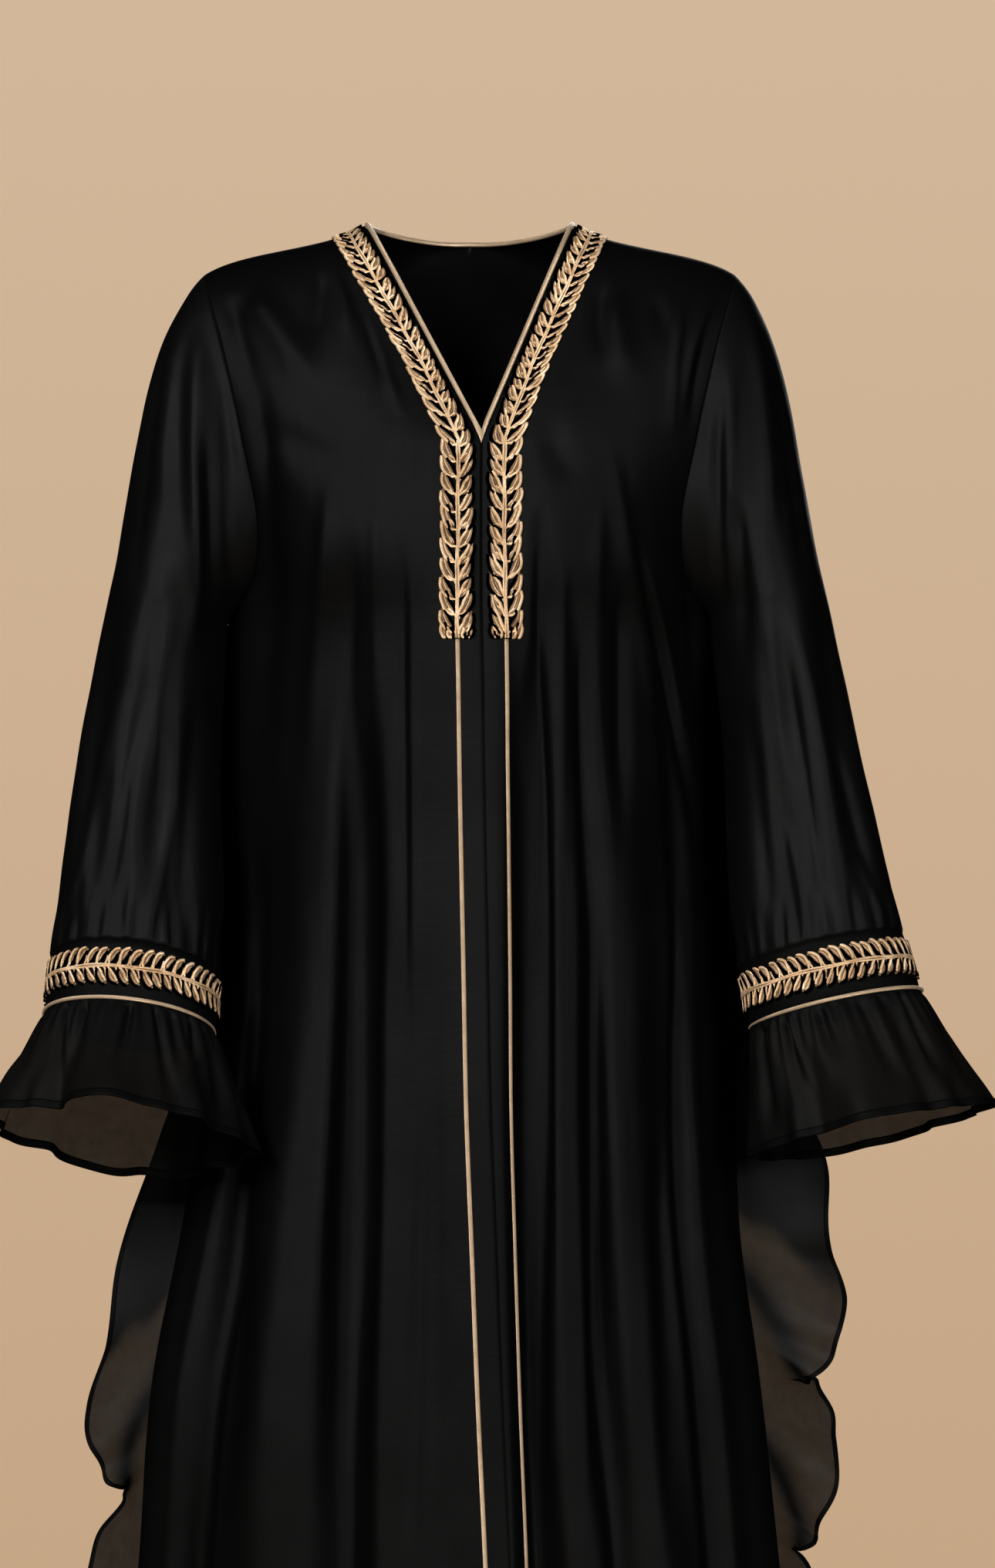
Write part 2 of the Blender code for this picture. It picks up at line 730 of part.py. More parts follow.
def trim_rows(grid):
    """Stations of the neck trim, in rows of the panel, each grid row among them."""
    end = row_at_drop(grid, 2, TRIM_END_DROP)
    stops = [*range(int(end) + 1), end]
    found = [0.0]
    for low, high in zip(stops, stops[1:]):
        length = np.linalg.norm(grid[min(low + 1, len(grid) - 1), 2] - grid[low, 2]) * (high - low)
        steps = max(1, round(length / TRIM_STEP))
        found += [low + (high - low) * step / steps for step in range(1, steps + 1)]
    return found


def make_neck_trim(name, grid, normals):
    """Raised embroidery along the V: a middle ridge, with scalloped sides."""
    low = []
    high = []
    for number, row in enumerate(trim_rows(grid)):
        scallop = TRIM_SCALLOP * (number % 2)
        under = []
        over = []
        for column, lift in ((1 + scallop, 0), (2.0, TRIM_RELIEF), (3 - scallop, 0)):
            point, normal = on_panel(grid, normals, row, column)
            under.append(point + normal * SKIN_GAP)
            over.append(point + normal * (SKIN_GAP + TRIM_THICKNESS + lift))
        low.append(under)
        high.append(over)
    low = np.array(low)
    high = np.array(high)
    # The shoulder end stands back from the seam.
    for part in (low, high):
        part[0] += unit(part[1] - part[0]) * SEAM_GAP
    make_skin(name, low, high, False, GOLD)


def make_front_cord(name, grid, normals):
    """A flat cord from the embroidery to the hem, over the trim's middle column."""
    start = row_at_drop(grid, 2, TRIM_END_DROP + SEAM_GAP)
    half = CORD_HALF_WIDTH / (TRIM_COLUMNS[2] - TRIM_COLUMNS[1])
    # Stations where the cord's sides cross the panel's triangles, so it never dips in.
    stops = [row + share for row in range(len(grid) - 1) for share in (0, half, 1 - half)]
    rows = [start, *(row for row in stops if row > start), len(grid) - 1]
    low = []
    high = []
    for row in rows:
        laid = [on_panel(grid, normals, row, column) for column in (2 - half, 2.0, 2 + half)]
        low.append([point + normal * SKIN_GAP for point, normal in laid])
        high.append([point + normal * (SKIN_GAP + CORD_THICKNESS) for point, normal in laid])
    make_skin(name, np.array(low), np.array(high), False, GOLD)


def make_tube(name, centres, outward, lift, radius, sides, colour):
    """A closed ring of cord, from its centre line and two directions across it."""
    turns = np.linspace(0, 2 * math.pi, sides, endpoint=False)
    loops = []
    for centre, out, up in zip(centres, outward, lift):
        loops.append([centre + radius * (math.cos(t) * out + math.sin(t) * up) for t in turns])
    loops = np.array(loops)
    count = len(loops)
    faces = []
    for i, j in product(range(count), range(sides)):
        a = i * sides + j
        b = i * sides + (j + 1) % sides
        c = ((i + 1) % count) * sides + (j + 1) % sides
        d = ((i + 1) % count) * sides + j
        faces += [[a, b, c], [a, c, d]]
    make_object(name, loops.reshape(-1, 3), faces, colour)


def make_neck_piping(grids, normals):
    """Piping round the whole neck edge, mitred at the point of the V."""
    low = ARM_STEPS // 2
    behind = round(BACK_NECK_END * ARM_STEPS)
    edge = []
    inner = []
    ways = []
    paths = (
        ("front_right", range(low)),
        ("front_left", range(low, 0, -1)),
        ("back_left", range(behind)),
        ("back_right", range(behind, 0, -1)),
    )
    for quarter, rows in paths:
        for row in rows:
            edge.append(grids[quarter][row, 0])
            inner.append(grids[quarter][row, 1])
            ways.append(normals[quarter][row, 0])
    edge = np.array(edge)
    ways = np.array(ways)
    before = unit(edge - np.roll(edge, 1, axis=0))
    after = unit(np.roll(edge, -1, axis=0) - edge)
    reach = NECK_PIPING_RADIUS + SEAM_GAP
    centres = []
    outward = []
    for number in range(len(edge)):
        way = ways[number]
        sides = [np.cross(way, before[number]), np.cross(way, after[number])]
        toward = edge[number] - np.array(inner[number])
        sides = [unit(s) * (1 if s @ toward >= 0 else -1) for s in sides]
        if number == low:
            sides = [s * (1 if s[2] > 0 else -1) for s in sides]
        total = sides[0] + sides[1]
        out = total * (2 / (total @ total))
        centres.append(edge[number] - way * WALL / 2 + out * reach)
        outward.append(out)
    make_tube("neck_piping", centres, outward, ways, NECK_PIPING_RADIUS, 6, GOLD)


def make_cuff(name, shared_band, band):
    """Embroidery and piping on a cuff band."""
    side = SIDES[name]
    seam = sections_of(CUFFS[name])[0]
    axis = ring_axis(side, seam)
    low = []
    high = []
    for number, share in enumerate((CUFF_TRIM_SPAN[0], sum(CUFF_TRIM_SPAN) / 2, CUFF_TRIM_SPAN[1])):
        under = []
        over = []
        for column in range(CUFF_COLUMNS):
            scallop = CUFF_TRIM_SCALLOP * (column % 2) * (1 - number)
            point = band[0, column] + (band[1, column] - band[0, column]) * (share + scallop)
            normal = unit(shared_band[0, column] + shared_band[1, column])
            lift = SKIN_GAP + TRIM_THICKNESS + TRIM_RELIEF * (number == 1)
            under.append(point + normal * SKIN_GAP)
            over.append(point + normal * lift)
        low.append(under)
        high.append(over)
    make_skin("cuff_trim_" + name, np.array(low), np.array(high), True, GOLD)
    out = shared_band[1]
    centres = band[1] + out * (CUFF_PIPING_RADIUS + SEAM_GAP * 1.5) - axis * CUFF_PIPING_RISE
    lift = np.tile(-axis, (CUFF_COLUMNS, 1))
    make_tube("cuff_piping_" + name, centres, out, lift, CUFF_PIPING_RADIUS, 4, GOLD)


def flounce_grid(name, quarter):
    """A cascade let into the side seam. It swings back and forth where its hem slants."""
    side = SIDES[name]
    drops, reaches = FLOUNCE_REACH[name]["drop"], FLOUNCE_REACH[name]["reach"]
    middles = (drops[1:] + drops[:-1]) / 2
    rows = []
    for drop in np.sort(np.concatenate([drops, middles])):
        row = row_at_drop(quarter, -1, drop)
        low = min(int(row), len(quarter) - 2)
        seam = quarter[low, -1] + (quarter[low + 1, -1] - quarter[low, -1]) * (row - low)
        reach = max(smooth(drop, drops, reaches), 0.0)
        before = smooth(drop - FLOUNCE_STEP, drops, reaches)
        slope = (smooth(drop + FLOUNCE_STEP, drops, reaches) - before) / (2 * FLOUNCE_STEP)
        swing = FLOUNCE_SWING * np.clip(slope / FLOUNCE_STEEP, -1, 1)
        cells = []
        for cell in range(FLOUNCE_CELLS + 1):
            w = cell / FLOUNCE_CELLS
            x = reach * w + FLOUNCE_SEAM_GAP
            y = swing * w**FLOUNCE_SWING_POWER + FLOUNCE_BACK_SET * w
            cells.append(seam + np.array([side * x, y, -FLOUNCE_FALL * reach * w]))
        rows.append(cells)
    return np.array(rows)


def clear_scene():
    for thing in list(bpy.data.objects):
        bpy.data.objects.remove(thing, do_unlink=True)


def normal_grid(grid, shared):
    return np.array([[shared[key(point)][0] for point in row] for row in grid])


def main():
    clear_scene()
    grids = {}
    for name, side in SIDES.items():
        grids["front_" + name] = body_quarter(side, FRONT)
        grids["back_" + name] = body_quarter(side, BACK)
    sleeves = {name: sleeve_grid(name) for name in SIDES}
    layers = {
        "back": join_grids([(grids["back_left"], False, False), (grids["back_right"], False, True)])
    }
    for name, side in SIDES.items():
        layers["front_" + name] = join_grids([(grids["front_" + name], False, side > 0)])
        layers["sleeve_" + name] = join_grids([(sleeves[name], True, side < 0)])
    shared = share_normals(layers.values())
    places = [{key(point) for point in points} for points, _ in layers.values()]
    seams = {place for a, b in product(places, places) if a is not b for place in a & b}

    for name, side in SIDES.items():
        top = sections_of(SLEEVES[name])[-1]
        seam = sections_of(CUFFS[name])[0]
        band = cuff_grid(name)
        ruffle = ruffle_grid(name)
        cuff_layers = {
            "cuff_band_": join_grids([(band, True, side < 0)]),
            "cuff_ruffle_": join_grids([(ruffle, True, side < 0)]),
        }
        cuff_normals = share_normals([cuff_layers["cuff_band_"]])
        ruffle_normals = share_normals([cuff_layers["cuff_ruffle_"]])
        # The edges of a seam round the arm are cut square to the arm.
        rings = ((sleeves[name][-1], top, shared), (band[0], top, cuff_normals))
        rings += ((band[1], seam, cuff_normals), (ruffle[0], seam, ruffle_normals))
        cuff_seams = set()
        for loop, section, normals in rings:
            axis = ring_axis(side, section)
            for point in loop:
                normal = normals[key(point)][0]
                normals[key(point)] = (unit(normal - axis * (normal @ axis)), 1.0)
                cuff_seams.add(key(point))
        seams |= cuff_seams
        layer = cuff_layers["cuff_band_"]
        make_walled("cuff_band_" + name, layer, cuff_normals, cuff_seams, WALL, BLACK)
        layer = cuff_layers["cuff_ruffle_"]
        make_walled("cuff_ruffle_" + name, layer, ruffle_normals, cuff_seams, SHEER_WALL, SHEER_BLACK)
        make_cuff(name, normal_grid(band, cuff_normals), band)

    for name, layer in layers.items():
        make_walled(name, layer, shared, seams, WALL, BLACK)

    normals = {name: normal_grid(grid, shared) for name, grid in grids.items()}
    for name in SIDES:
        front = grids["front_" + name]
        make_neck_trim("neck_trim_" + name, front, normals["front_" + name])
        make_front_cord("front_cord_" + name, front, normals["front_" + name])
        flounce = flounce_grid(name, front)
        layer = join_grids([(flounce, False, False)])
        own = share_normals([layer])
        # Both sides of the flounce's root stand equally far from the seam.
        for point in flounce[:, 0]:
            normal = own[key(point)][0] * np.array([0, 1, 1])
            own[key(point)] = (unit(normal), 1.0)
        make_walled("side_flounce_" + name, layer, own, set(), SHEER_WALL, SHEER_BLACK)
    make_neck_piping(grids, normals)


main()
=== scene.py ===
"""Looks of the black abaya: fine cloth, gold thread embroidery, sheer frills, camera and light."""

import math

import bpy
import numpy as np
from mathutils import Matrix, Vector, noise


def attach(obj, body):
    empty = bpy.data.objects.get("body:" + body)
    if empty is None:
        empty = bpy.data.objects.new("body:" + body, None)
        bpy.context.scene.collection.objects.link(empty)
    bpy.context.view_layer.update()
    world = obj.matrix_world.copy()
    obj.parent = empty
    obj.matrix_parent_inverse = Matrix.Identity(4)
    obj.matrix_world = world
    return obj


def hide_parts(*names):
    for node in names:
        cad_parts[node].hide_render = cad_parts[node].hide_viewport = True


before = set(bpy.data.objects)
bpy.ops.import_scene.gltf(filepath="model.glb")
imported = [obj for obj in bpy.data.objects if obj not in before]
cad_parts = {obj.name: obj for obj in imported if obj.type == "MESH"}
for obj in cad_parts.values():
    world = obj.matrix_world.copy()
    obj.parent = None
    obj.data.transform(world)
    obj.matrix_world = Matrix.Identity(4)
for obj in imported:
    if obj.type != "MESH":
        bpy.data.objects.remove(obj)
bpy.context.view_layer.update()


def table(names, *rows):
    """Columns of a small table, by name."""
    columns = zip(*rows)
    return {name: np.array(column, float) for name, column in zip(names.split(), columns)}


def rings(*rows):
    """Leaning ovals down an arm."""
    return table("x y z half_width half_depth side_lean front_lean", *rows)


def creases(*rows):
    """Curves in the cloth, each through three points."""
    return table("x0 z0 x1 z1 x2 z2 half_width height", *rows)


# The cut, as the solids have it. "Drop" is the distance below the shoulders' high points.
HEM_DROP = 1.42
UNDERARM_DROP = 0.287
SIDES = {"right": -1, "left": 1}
FRONT = -1
BACK = 1
NECK_HALF_WIDTH = 0.0785
V_POINT = (0.0092, -0.1055, -0.168)
NECK_ROLL = 0.038
NECK_ROLL_SHARE = 0.25
BACK_NECK_DEPTH = 0.060
BACK_NECK_DROP = 0.008
BACK_NECK_END = 5 / 12
ARMHOLE = table(
    "angle x",
    (0, 0.198), (30, 0.193), (60, 0.180), (90, 0.166), (120, 0.155), (150, 0.161), (165, 0.1695),
    (180, 0.174),
)
SHOULDER_TIP_DROP = 0.037
ARMHOLE_REACH = {FRONT: 0.070, BACK: 0.066}
TORSO = table(
    "drop half_width front back opening_x axis_x side_y side_in",
    (0.287, 0.174, 0.124, 0.108, 0.009, 0.000, 0.000, 0.000),
    (0.330, 0.184, 0.125, 0.110, 0.010, 0.000, 0.018, 0.014),
    (0.400, 0.191, 0.127, 0.115, 0.011, 0.001, 0.034, 0.030),
    (0.550, 0.198, 0.135, 0.130, 0.014, 0.005, 0.036, 0.036),
    (0.650, 0.200, 0.142, 0.138, 0.016, 0.000, 0.024, 0.026),
    (0.750, 0.209, 0.149, 0.150, 0.020, -0.007, 0.010, 0.010),
    (0.850, 0.225, 0.156, 0.160, 0.024, -0.010, 0.000, 0.000),
    (1.000, 0.239, 0.165, 0.175, 0.031, -0.008, 0.000, 0.000),
    (1.200, 0.259, 0.178, 0.190, 0.036, -0.008, 0.000, 0.000),
    (1.420, 0.282, 0.190, 0.205, 0.040, -0.008, 0.000, 0.000),
)
CENTRE_FRONT = table(
    "drop depth opening_x",
    (0.168, 0.1055, 0.0092), (0.200, 0.114, 0.0090), (0.250, 0.121, 0.0090),
    (0.287, 0.124, 0.0090),
)
CENTRE_BACK = table(
    "drop depth",
    (0.008, 0.060), (0.060, 0.083), (0.120, 0.098), (0.200, 0.106), (0.287, 0.108),
)
FRONT_LEADS = table(
    "place in_x in_y in_z out_x out_y out_z",
    (0.00, 0.025, 0.000, -0.019, -0.028, 0.000, 0.0195),
    (0.15, 0.032, -0.004, -0.013, -0.034, -0.006, 0.015),
    (0.50, 0.050, -0.016, 0.000, -0.048, -0.036, 0.002),
    (0.75, 0.052, -0.016, 0.000, -0.030, -0.062, 0.000),
    (1.00, 0.060, -0.012, 0.000, 0.000, -0.052, 0.000),
)
BACK_LEADS = table(
    "place in_x in_y in_z out_x out_y out_z",
    (0.00, 0.025, 0.000, -0.019, -0.028, 0.000, 0.0195),
    (0.20, 0.032, 0.006, -0.013, -0.036, 0.010, 0.016),
    (0.40, 0.050, 0.005, -0.005, -0.045, 0.030, 0.030),
    (0.70, 0.055, 0.004, -0.010, -0.035, 0.050, 0.030),
    (1.00, 0.060, 0.010, 0.000, 0.000, 0.045, 0.000),
)
LEAD_IN_SHARE = 0.36
LEAD_OUT_SHARES = (0.42, 0.70)
LEAD_OUT_DROPS = (0.287, 0.45)
BUST_LEAD = {FRONT: -0.012, BACK: 0.010}
BUST_LEAD_FADE = 0.11
FRONT_FOLDS = table(
    "at_bust at_hem half_width depth start",
    (-0.34, -0.36, 0.085, 0.026, 0.33),
    (-0.70, -0.73, 0.080, 0.024, 0.45),
    (0.13, 0.05, 0.080, 0.028, 0.28),
    (0.31, 0.27, 0.060, 0.014, 0.30),
    (0.64, 0.54, 0.070, 0.014, 0.28),
    (-0.52, -0.53, 0.120, -0.010, 0.40),
    (0.42, 0.40, 0.100, -0.008, 0.40),
    (-0.86, -0.86, 0.070, -0.008, 0.60),
    (0.80, 0.80, 0.110, -0.009, 0.60),
)
BACK_FOLDS = table(
    "at_bust at_hem half_width depth start",
    (-0.72, -0.76, 0.110, 0.024, 0.42),
    (-0.44, -0.47, 0.100, 0.020, 0.47),
    (-0.14, -0.17, 0.100, 0.026, 0.38),
    (0.13, 0.15, 0.090, 0.022, 0.44),
    (0.40, 0.44, 0.110, 0.026, 0.40),
    (0.70, 0.74, 0.100, 0.021, 0.46),
    (-0.30, -0.32, 0.090, -0.009, 0.50),
    (0.27, 0.29, 0.090, -0.009, 0.50),
)
FOLD_GROWTH = 0.25
FOLD_FAN_START = 0.20
FOLD_SIDE_FADE = (0.88, 0.97)
FOLD_CENTRE_BLEND = 0.10

SLEEVES = {
    "right": rings(
        (0.225, -0.002, -0.278, 0.044, 0.078, 28.0, 0.0),
        (0.238, -0.014, -0.385, 0.050, 0.074, 16.0, 6.0),
        (0.242, -0.040, -0.470, 0.056, 0.066, 9.0, 15.0),
        (0.244, -0.067, -0.550, 0.0615, 0.055, 5.7, 24.0),
    ),
    "left": rings(
        (0.2225, 0.000, -0.275, 0.0435, 0.078, 28.0, 0.0),
        (0.238, -0.008, -0.372, 0.046, 0.076, 16.0, 4.0),
        (0.249, -0.024, -0.462, 0.054, 0.068, 13.0, 8.0),
        (0.258, -0.049, -0.539, 0.061, 0.055, 12.0, 13.0),
    ),
}
SLEEVE_TOP_LEAD = {"right": (0.73, 0.0, -0.68), "left": (0.70, 0.0, -0.72)}
SLEEVE_UNDER_LEAD = (0.85, 0.0, -0.53)
SLEEVE_FRONT_LEAD = 0.25
SLEEVE_LEAD_SHARES = {"right": (0.83, 0.5), "left": (0.75, 0.5)}
SLEEVE_FOLDS = table(
    "at_top at_cuff half_width depth",
    (40, 62, 26, 0.007), (95, 118, 24, 0.008), (230, 250, 28, 0.008), (318, 300, 26, 0.006),
)
CUFFS = {
    "right": rings(
        (0.2460, -0.085, -0.591, 0.0615, 0.0505, 5.7, 24.0),
        (0.2480, -0.118, -0.6705, 0.0940, 0.0790, 5.7, 24.0),
    ),
    "left": rings(
        (0.2680, -0.058, -0.582, 0.0635, 0.0505, 12.0, 13.0),
        (0.2910, -0.082, -0.670, 0.0870, 0.0780, 12.0, 13.0),
    ),
}
GATHERS = 20
GATHER_DEPTH = 0.00075
FINE_GATHER_DEPTH = 0.0009
PLEAT_DEPTH = 0.0052
PLEAT_WIDTH = (5.0, 11.0)
PLEAT_LENGTH = (0.35, 1.0)
PLEAT_DRIFT = (-9, 9)
PLEAT_SPACING = (1.8, 3.4)
# Waves of the ruffle's hem: how deep, where down the ruffle they start, how many, and a slip.
RUFFLE_HEMLINE = ((0.0040, 0.2, 9, 1.7), (0.0018, 0.5, 17, 2.3))
FLARE_POWER = 0.85
RUFFLE_WAVES = {
    "right": table(
        "angle half_width depth",
        (20, 34, 0.006), (52, 22, -0.018), (90, 30, 0.006), (140, 26, -0.008), (215, 30, -0.008),
        (270, 34, 0.006), (320, 28, -0.009),
    ),
    "left": table(
        "angle half_width depth",
        (15, 32, 0.005), (50, 26, -0.010), (85, 28, 0.005), (125, 26, -0.009), (205, 30, -0.008),
        (265, 34, 0.006), (315, 28, -0.009),
    ),
}
# How far each flounce's hem stands out from the side seam, by the distance down.
FLOUNCE_REACH = {
    "right": table(
        "drop reach",
        (0.600, 0.000), (0.660, 0.022), (0.720, 0.036), (0.775, 0.042), (0.829, 0.042),
        (0.868, 0.049), (0.902, 0.032), (0.929, 0.016), (0.957, 0.017), (0.990, 0.034),
        (1.030, 0.046), (1.070, 0.040), (1.105, 0.022), (1.140, 0.030), (1.185, 0.048),
        (1.230, 0.040), (1.270, 0.022), (1.310, 0.036), (1.350, 0.034), (1.380, 0.020),
    ),
    "left": table(
        "drop reach",
        (0.570, 0.000), (0.590, 0.012), (0.610, 0.021), (0.650, 0.045), (0.702, 0.069),
        (0.754, 0.070), (0.779, 0.076), (0.806, 0.062), (0.832, 0.043), (0.854, 0.037),
        (0.888, 0.056), (0.936, 0.038), (0.958, 0.030), (0.982, 0.016), (1.010, 0.022),
        (1.050, 0.046), (1.090, 0.052), (1.130, 0.030), (1.165, 0.024), (1.210, 0.048),
        (1.250, 0.050), (1.290, 0.026), (1.330, 0.034), (1.380, 0.022),
    ),
}
FLOUNCE_FALL = 0.30
FLOUNCE_SWING = 0.026
FLOUNCE_STEEP = 0.55
FLOUNCE_STEP = 0.006
FLOUNCE_SWING_POWER = 1.2
FLOUNCE_BACK_SET = 0.012
FLOUNCE_FOLD = 0.017
FLOUNCE_RIPPLE = (0.0016, 0.0030)
FLOUNCE_SLANT = 0.070
FLOUNCE_TUCK = 0.020
# Down to these drops the flounce is opaque: partly the layers gathered at its top, partly painted
# shade.
FLOUNCE_LAYERS_AND_SHADE_TOP = {"right": 0.800, "left": 0.735}
# Where the hem turns, down the seam: in at the first place, out at the next, and so on.
FLOUNCE_TURNS = {
    "right": (0.600, 0.868, 0.940, 1.035, 1.105, 1.190, 1.270, 1.330, 1.380),
    "left": (0.600, 0.779, 0.854, 0.888, 0.982, 1.085, 1.160, 1.235, 1.290, 1.335, 1.380),
}
TRIM_MIDDLE = 0.0175
TRIM_NECK_MIDDLE = 0.0138
TRIM_HALF_WIDTH = 0.0141
TRIM_END_DROP = 0.312
CUFF_TRIM_SPAN = (0.12, 0.80)
NECK_PIPING_SET = 0.0023
NECK_PIPING = 0.0018
NECK_PIPING_SINK = 0.0004
CORNER_REACH = 0.0060
CORNER_HANG = (0, 0.0008, 0.0024)
# The front piping's half width and half height, and how far its middle stands off the cloth.
FRONT_PIPING = (0.0016, 0.0011)
FRONT_PIPING_RAISE = 0.0009
# The cuff piping's radius and how far it is set out, each with how much less by the body.
CUFF_PIPING = (0.00140, 0.00050)
CUFF_PIPING_SET = (0.0013, 0.0010)
CUFF_PIPING_RISE = 0.001
# Half widths of the embroidery's couched cords, and how far apart the stem's two lie.
NECK_STITCH = 0.00116
CUFF_STITCH = 0.00105
STEM_STITCH = (0.00078, 0.00085)
STEM_SET = 0.00075
THREAD_TURN = 0.0012
# A leaf's outline, filling and vein: share of its width, thread, and share of the cord's size.
LEAF_CORDS = ((1.0, 0, 1.0), (0.42, 1, 0.72), (-0.05, 0, 0.45))
# The leaves' sizes along each band of embroidery, and the small ones at its lower end.
NECK_VINE = {
    "first": 0.004,
    "share": (0.00, 0.42, 0.52, 1.00),
    "pitch": (0.0126, 0.0122, 0.0094, 0.0090),
    "length": (0.0205, 0.0200, 0.0164, 0.0158),
    "reach": (0.0088, 0.0088, 0.0088, 0.0088),
    "width": (0.0033, 0.0033, 0.0029, 0.0028),
    "foot": ((-1, 0.0085, 0.013), (1, 0.0085, 0.014), (-1, 0.0045, 0.009), (1, 0.0040, 0.010)),
}
CUFF_VINE = {
    "first": 0.001,
    "share": (0.00, 1.00),
    "pitch": (0.0080, 0.0080),
    "length": (0.0085, 0.0085),
    "reach": (0.0112, 0.0112),
    "width": (0.0023, 0.0023),
    "foot": (),
}

# Creases, in millimetres, each a curve through three points seen from the
# front or the back. A positive height is a soft ridge, a negative one a hollow.
FRONT_CREASES = creases(
    (-152, -120, -152, -220, -154, -340, 12, -4.0),
    (-84, -350, -82, -600, -92, -1010, 15, -10.0),
    (48, -270, 50, -560, 45, -1040, 9, -9.0),
    (90, -500, 91, -740, 94, -1010, 5.5, -5.0),
    (182, -310, 184, -450, 196, -640, 9, -6.0),
    (-152, -480, -164, -700, -184, -980, 12, -7.0),
    (100, -160, 118, -260, 150, -420, 7, 1.6),
    (136, -640, 142, -820, 152, -1010, 8, -3.6),
    (-30, -600, -36, -800, -40, -1010, 6, -2.4),
    (-176, -52, -172, -92, -152, -142, 11, -3.4),
    (-162, -58, -140, -84, -106, -146, 12, 3.6),
    (-108, -34, -110, -66, -118, -104, 8, -2.6),
    (-95, -34, -90, -66, -87, -100, 6, 1.8),
    (-78, -62, -68, -100, -58, -128, 5, -1.4),
    (-66, -80, -58, -120, -48, -150, 5, 1.2),
    (-150, -150, -110, -178, -56, -190, 16, -2.6),
    (-99, -186, -108, -300, -120, -420, 9, 3.0),
    (-84, -230, -86, -330, -88, -470, 8, -2.6),
    (-68, -200, -66, -300, -66, -440, 6, 1.6),
    (-48, -230, -47, -380, -44, -620, 3.2, -2.0),
    (-40, -250, -40, -400, -38, -640, 3.2, 1.1),
    (-136, -230, -150, -330, -160, -450, 12, -3.0),
    (-140, -460, -152, -640, -172, -860, 11, 2.6),
    (-60, -480, -62, -700, -66, -980, 9, 1.8),
    (-24, -560, -24, -760, -22, -1010, 7, -1.4),
    (113, -50, 109, -92, 128, -134, 10, 2.6),
    (96, -40, 95, -76, 101, -112, 6, -2.0),
    (135, -56, 140, -74, 142, -92, 6, -1.4),
    (184, -58, 164, -96, 156, -164, 5, 2.4),
    (176, -90, 166, -120, 164, -170, 4, -2.2),
    (158, -60, 150, -110, 148, -170, 4.5, 1.8),
    (60, -150, 66, -180, 84, -196, 12, -1.8),
    (52, -210, 51, -300, 50, -420, 8, -3.0),
    (68, -240, 66, -360, 66, -520, 6, 2.2),
    (81, -300, 82, -400, 86, -520, 4.5, -2.4),
    (96, -200, 92, -300, 96, -440, 7, 1.8),
    (110, -270, 110, -350, 112, -480, 6, -2.8),
    (120, -230, 146, -350, 186, -520, 4, -2.6),
    (130, -250, 152, -350, 184, -470, 5, 2.0),
    (158, -226, 166, -312, 178, -410, 4, -3.0),
    (150, -450, 158, -620, 176, -800, 9, 2.2),
    (104, -560, 110, -760, 122, -980, 10, 2.0),
    (52, -640, 58, -820, 70, -1000, 6, 1.8),
    (-196, -900, -204, -1100, -216, -1400, 9, -2.4),
    (-118, -960, -126, -1150, -134, -1410, 9, 2.2),
    (-30, -1020, -34, -1200, -40, -1410, 9, 2.0),
    (96, -1000, 104, -1200, 118, -1410, 9, -2.2),
    (160, -980, 172, -1180, 190, -1410, 9, 2.2),
)
BACK_CREASES = creases(
    (-150, -60, -110, -110, -60, -130, 13, 2.6),
    (150, -62, 112, -114, 58, -132, 13, 2.4),
    (-164, -90, -140, -150, -108, -190, 8, -2.2),
    (166, -94, 138, -156, 104, -196, 8, -2.0),
    (-96, -190, -102, -320, -118, -470, 8, 2.4),
    (-60, -200, -62, -330, -66, -480, 6, -1.8),
    (-24, -180, -22, -300, -26, -440, 7, 1.8),
    (14, -190, 12, -320, 8, -470, 6, -1.8),
    (52, -190, 54, -330, 62, -470, 7, 2.0),
    (104, -190, 112, -330, 124, -480, 8, -2.4),
    (136, -240, 150, -350, 172, -500, 5, 2.2),
    (-140, -230, -152, -340, -170, -480, 5, -2.2),
    (-44, -560, -46, -800, -58, -1100, 8, 2.2),
    (86, -520, 92, -780, 108, -1080, 8, 2.0),
    (-150, -600, -166, -860, -190, -1180, 9, 2.2),
    (160, -620, 172, -880, 196, -1200, 9, -2.0),
    (-8, -900, -4, -1100, 6, -1410, 9, -2.2),
    (-110, -980, -122, -1180, -138, -1410, 9, 2.0),
    (140, -960, 150, -1180, 168, -1410, 9, 2.2),
)
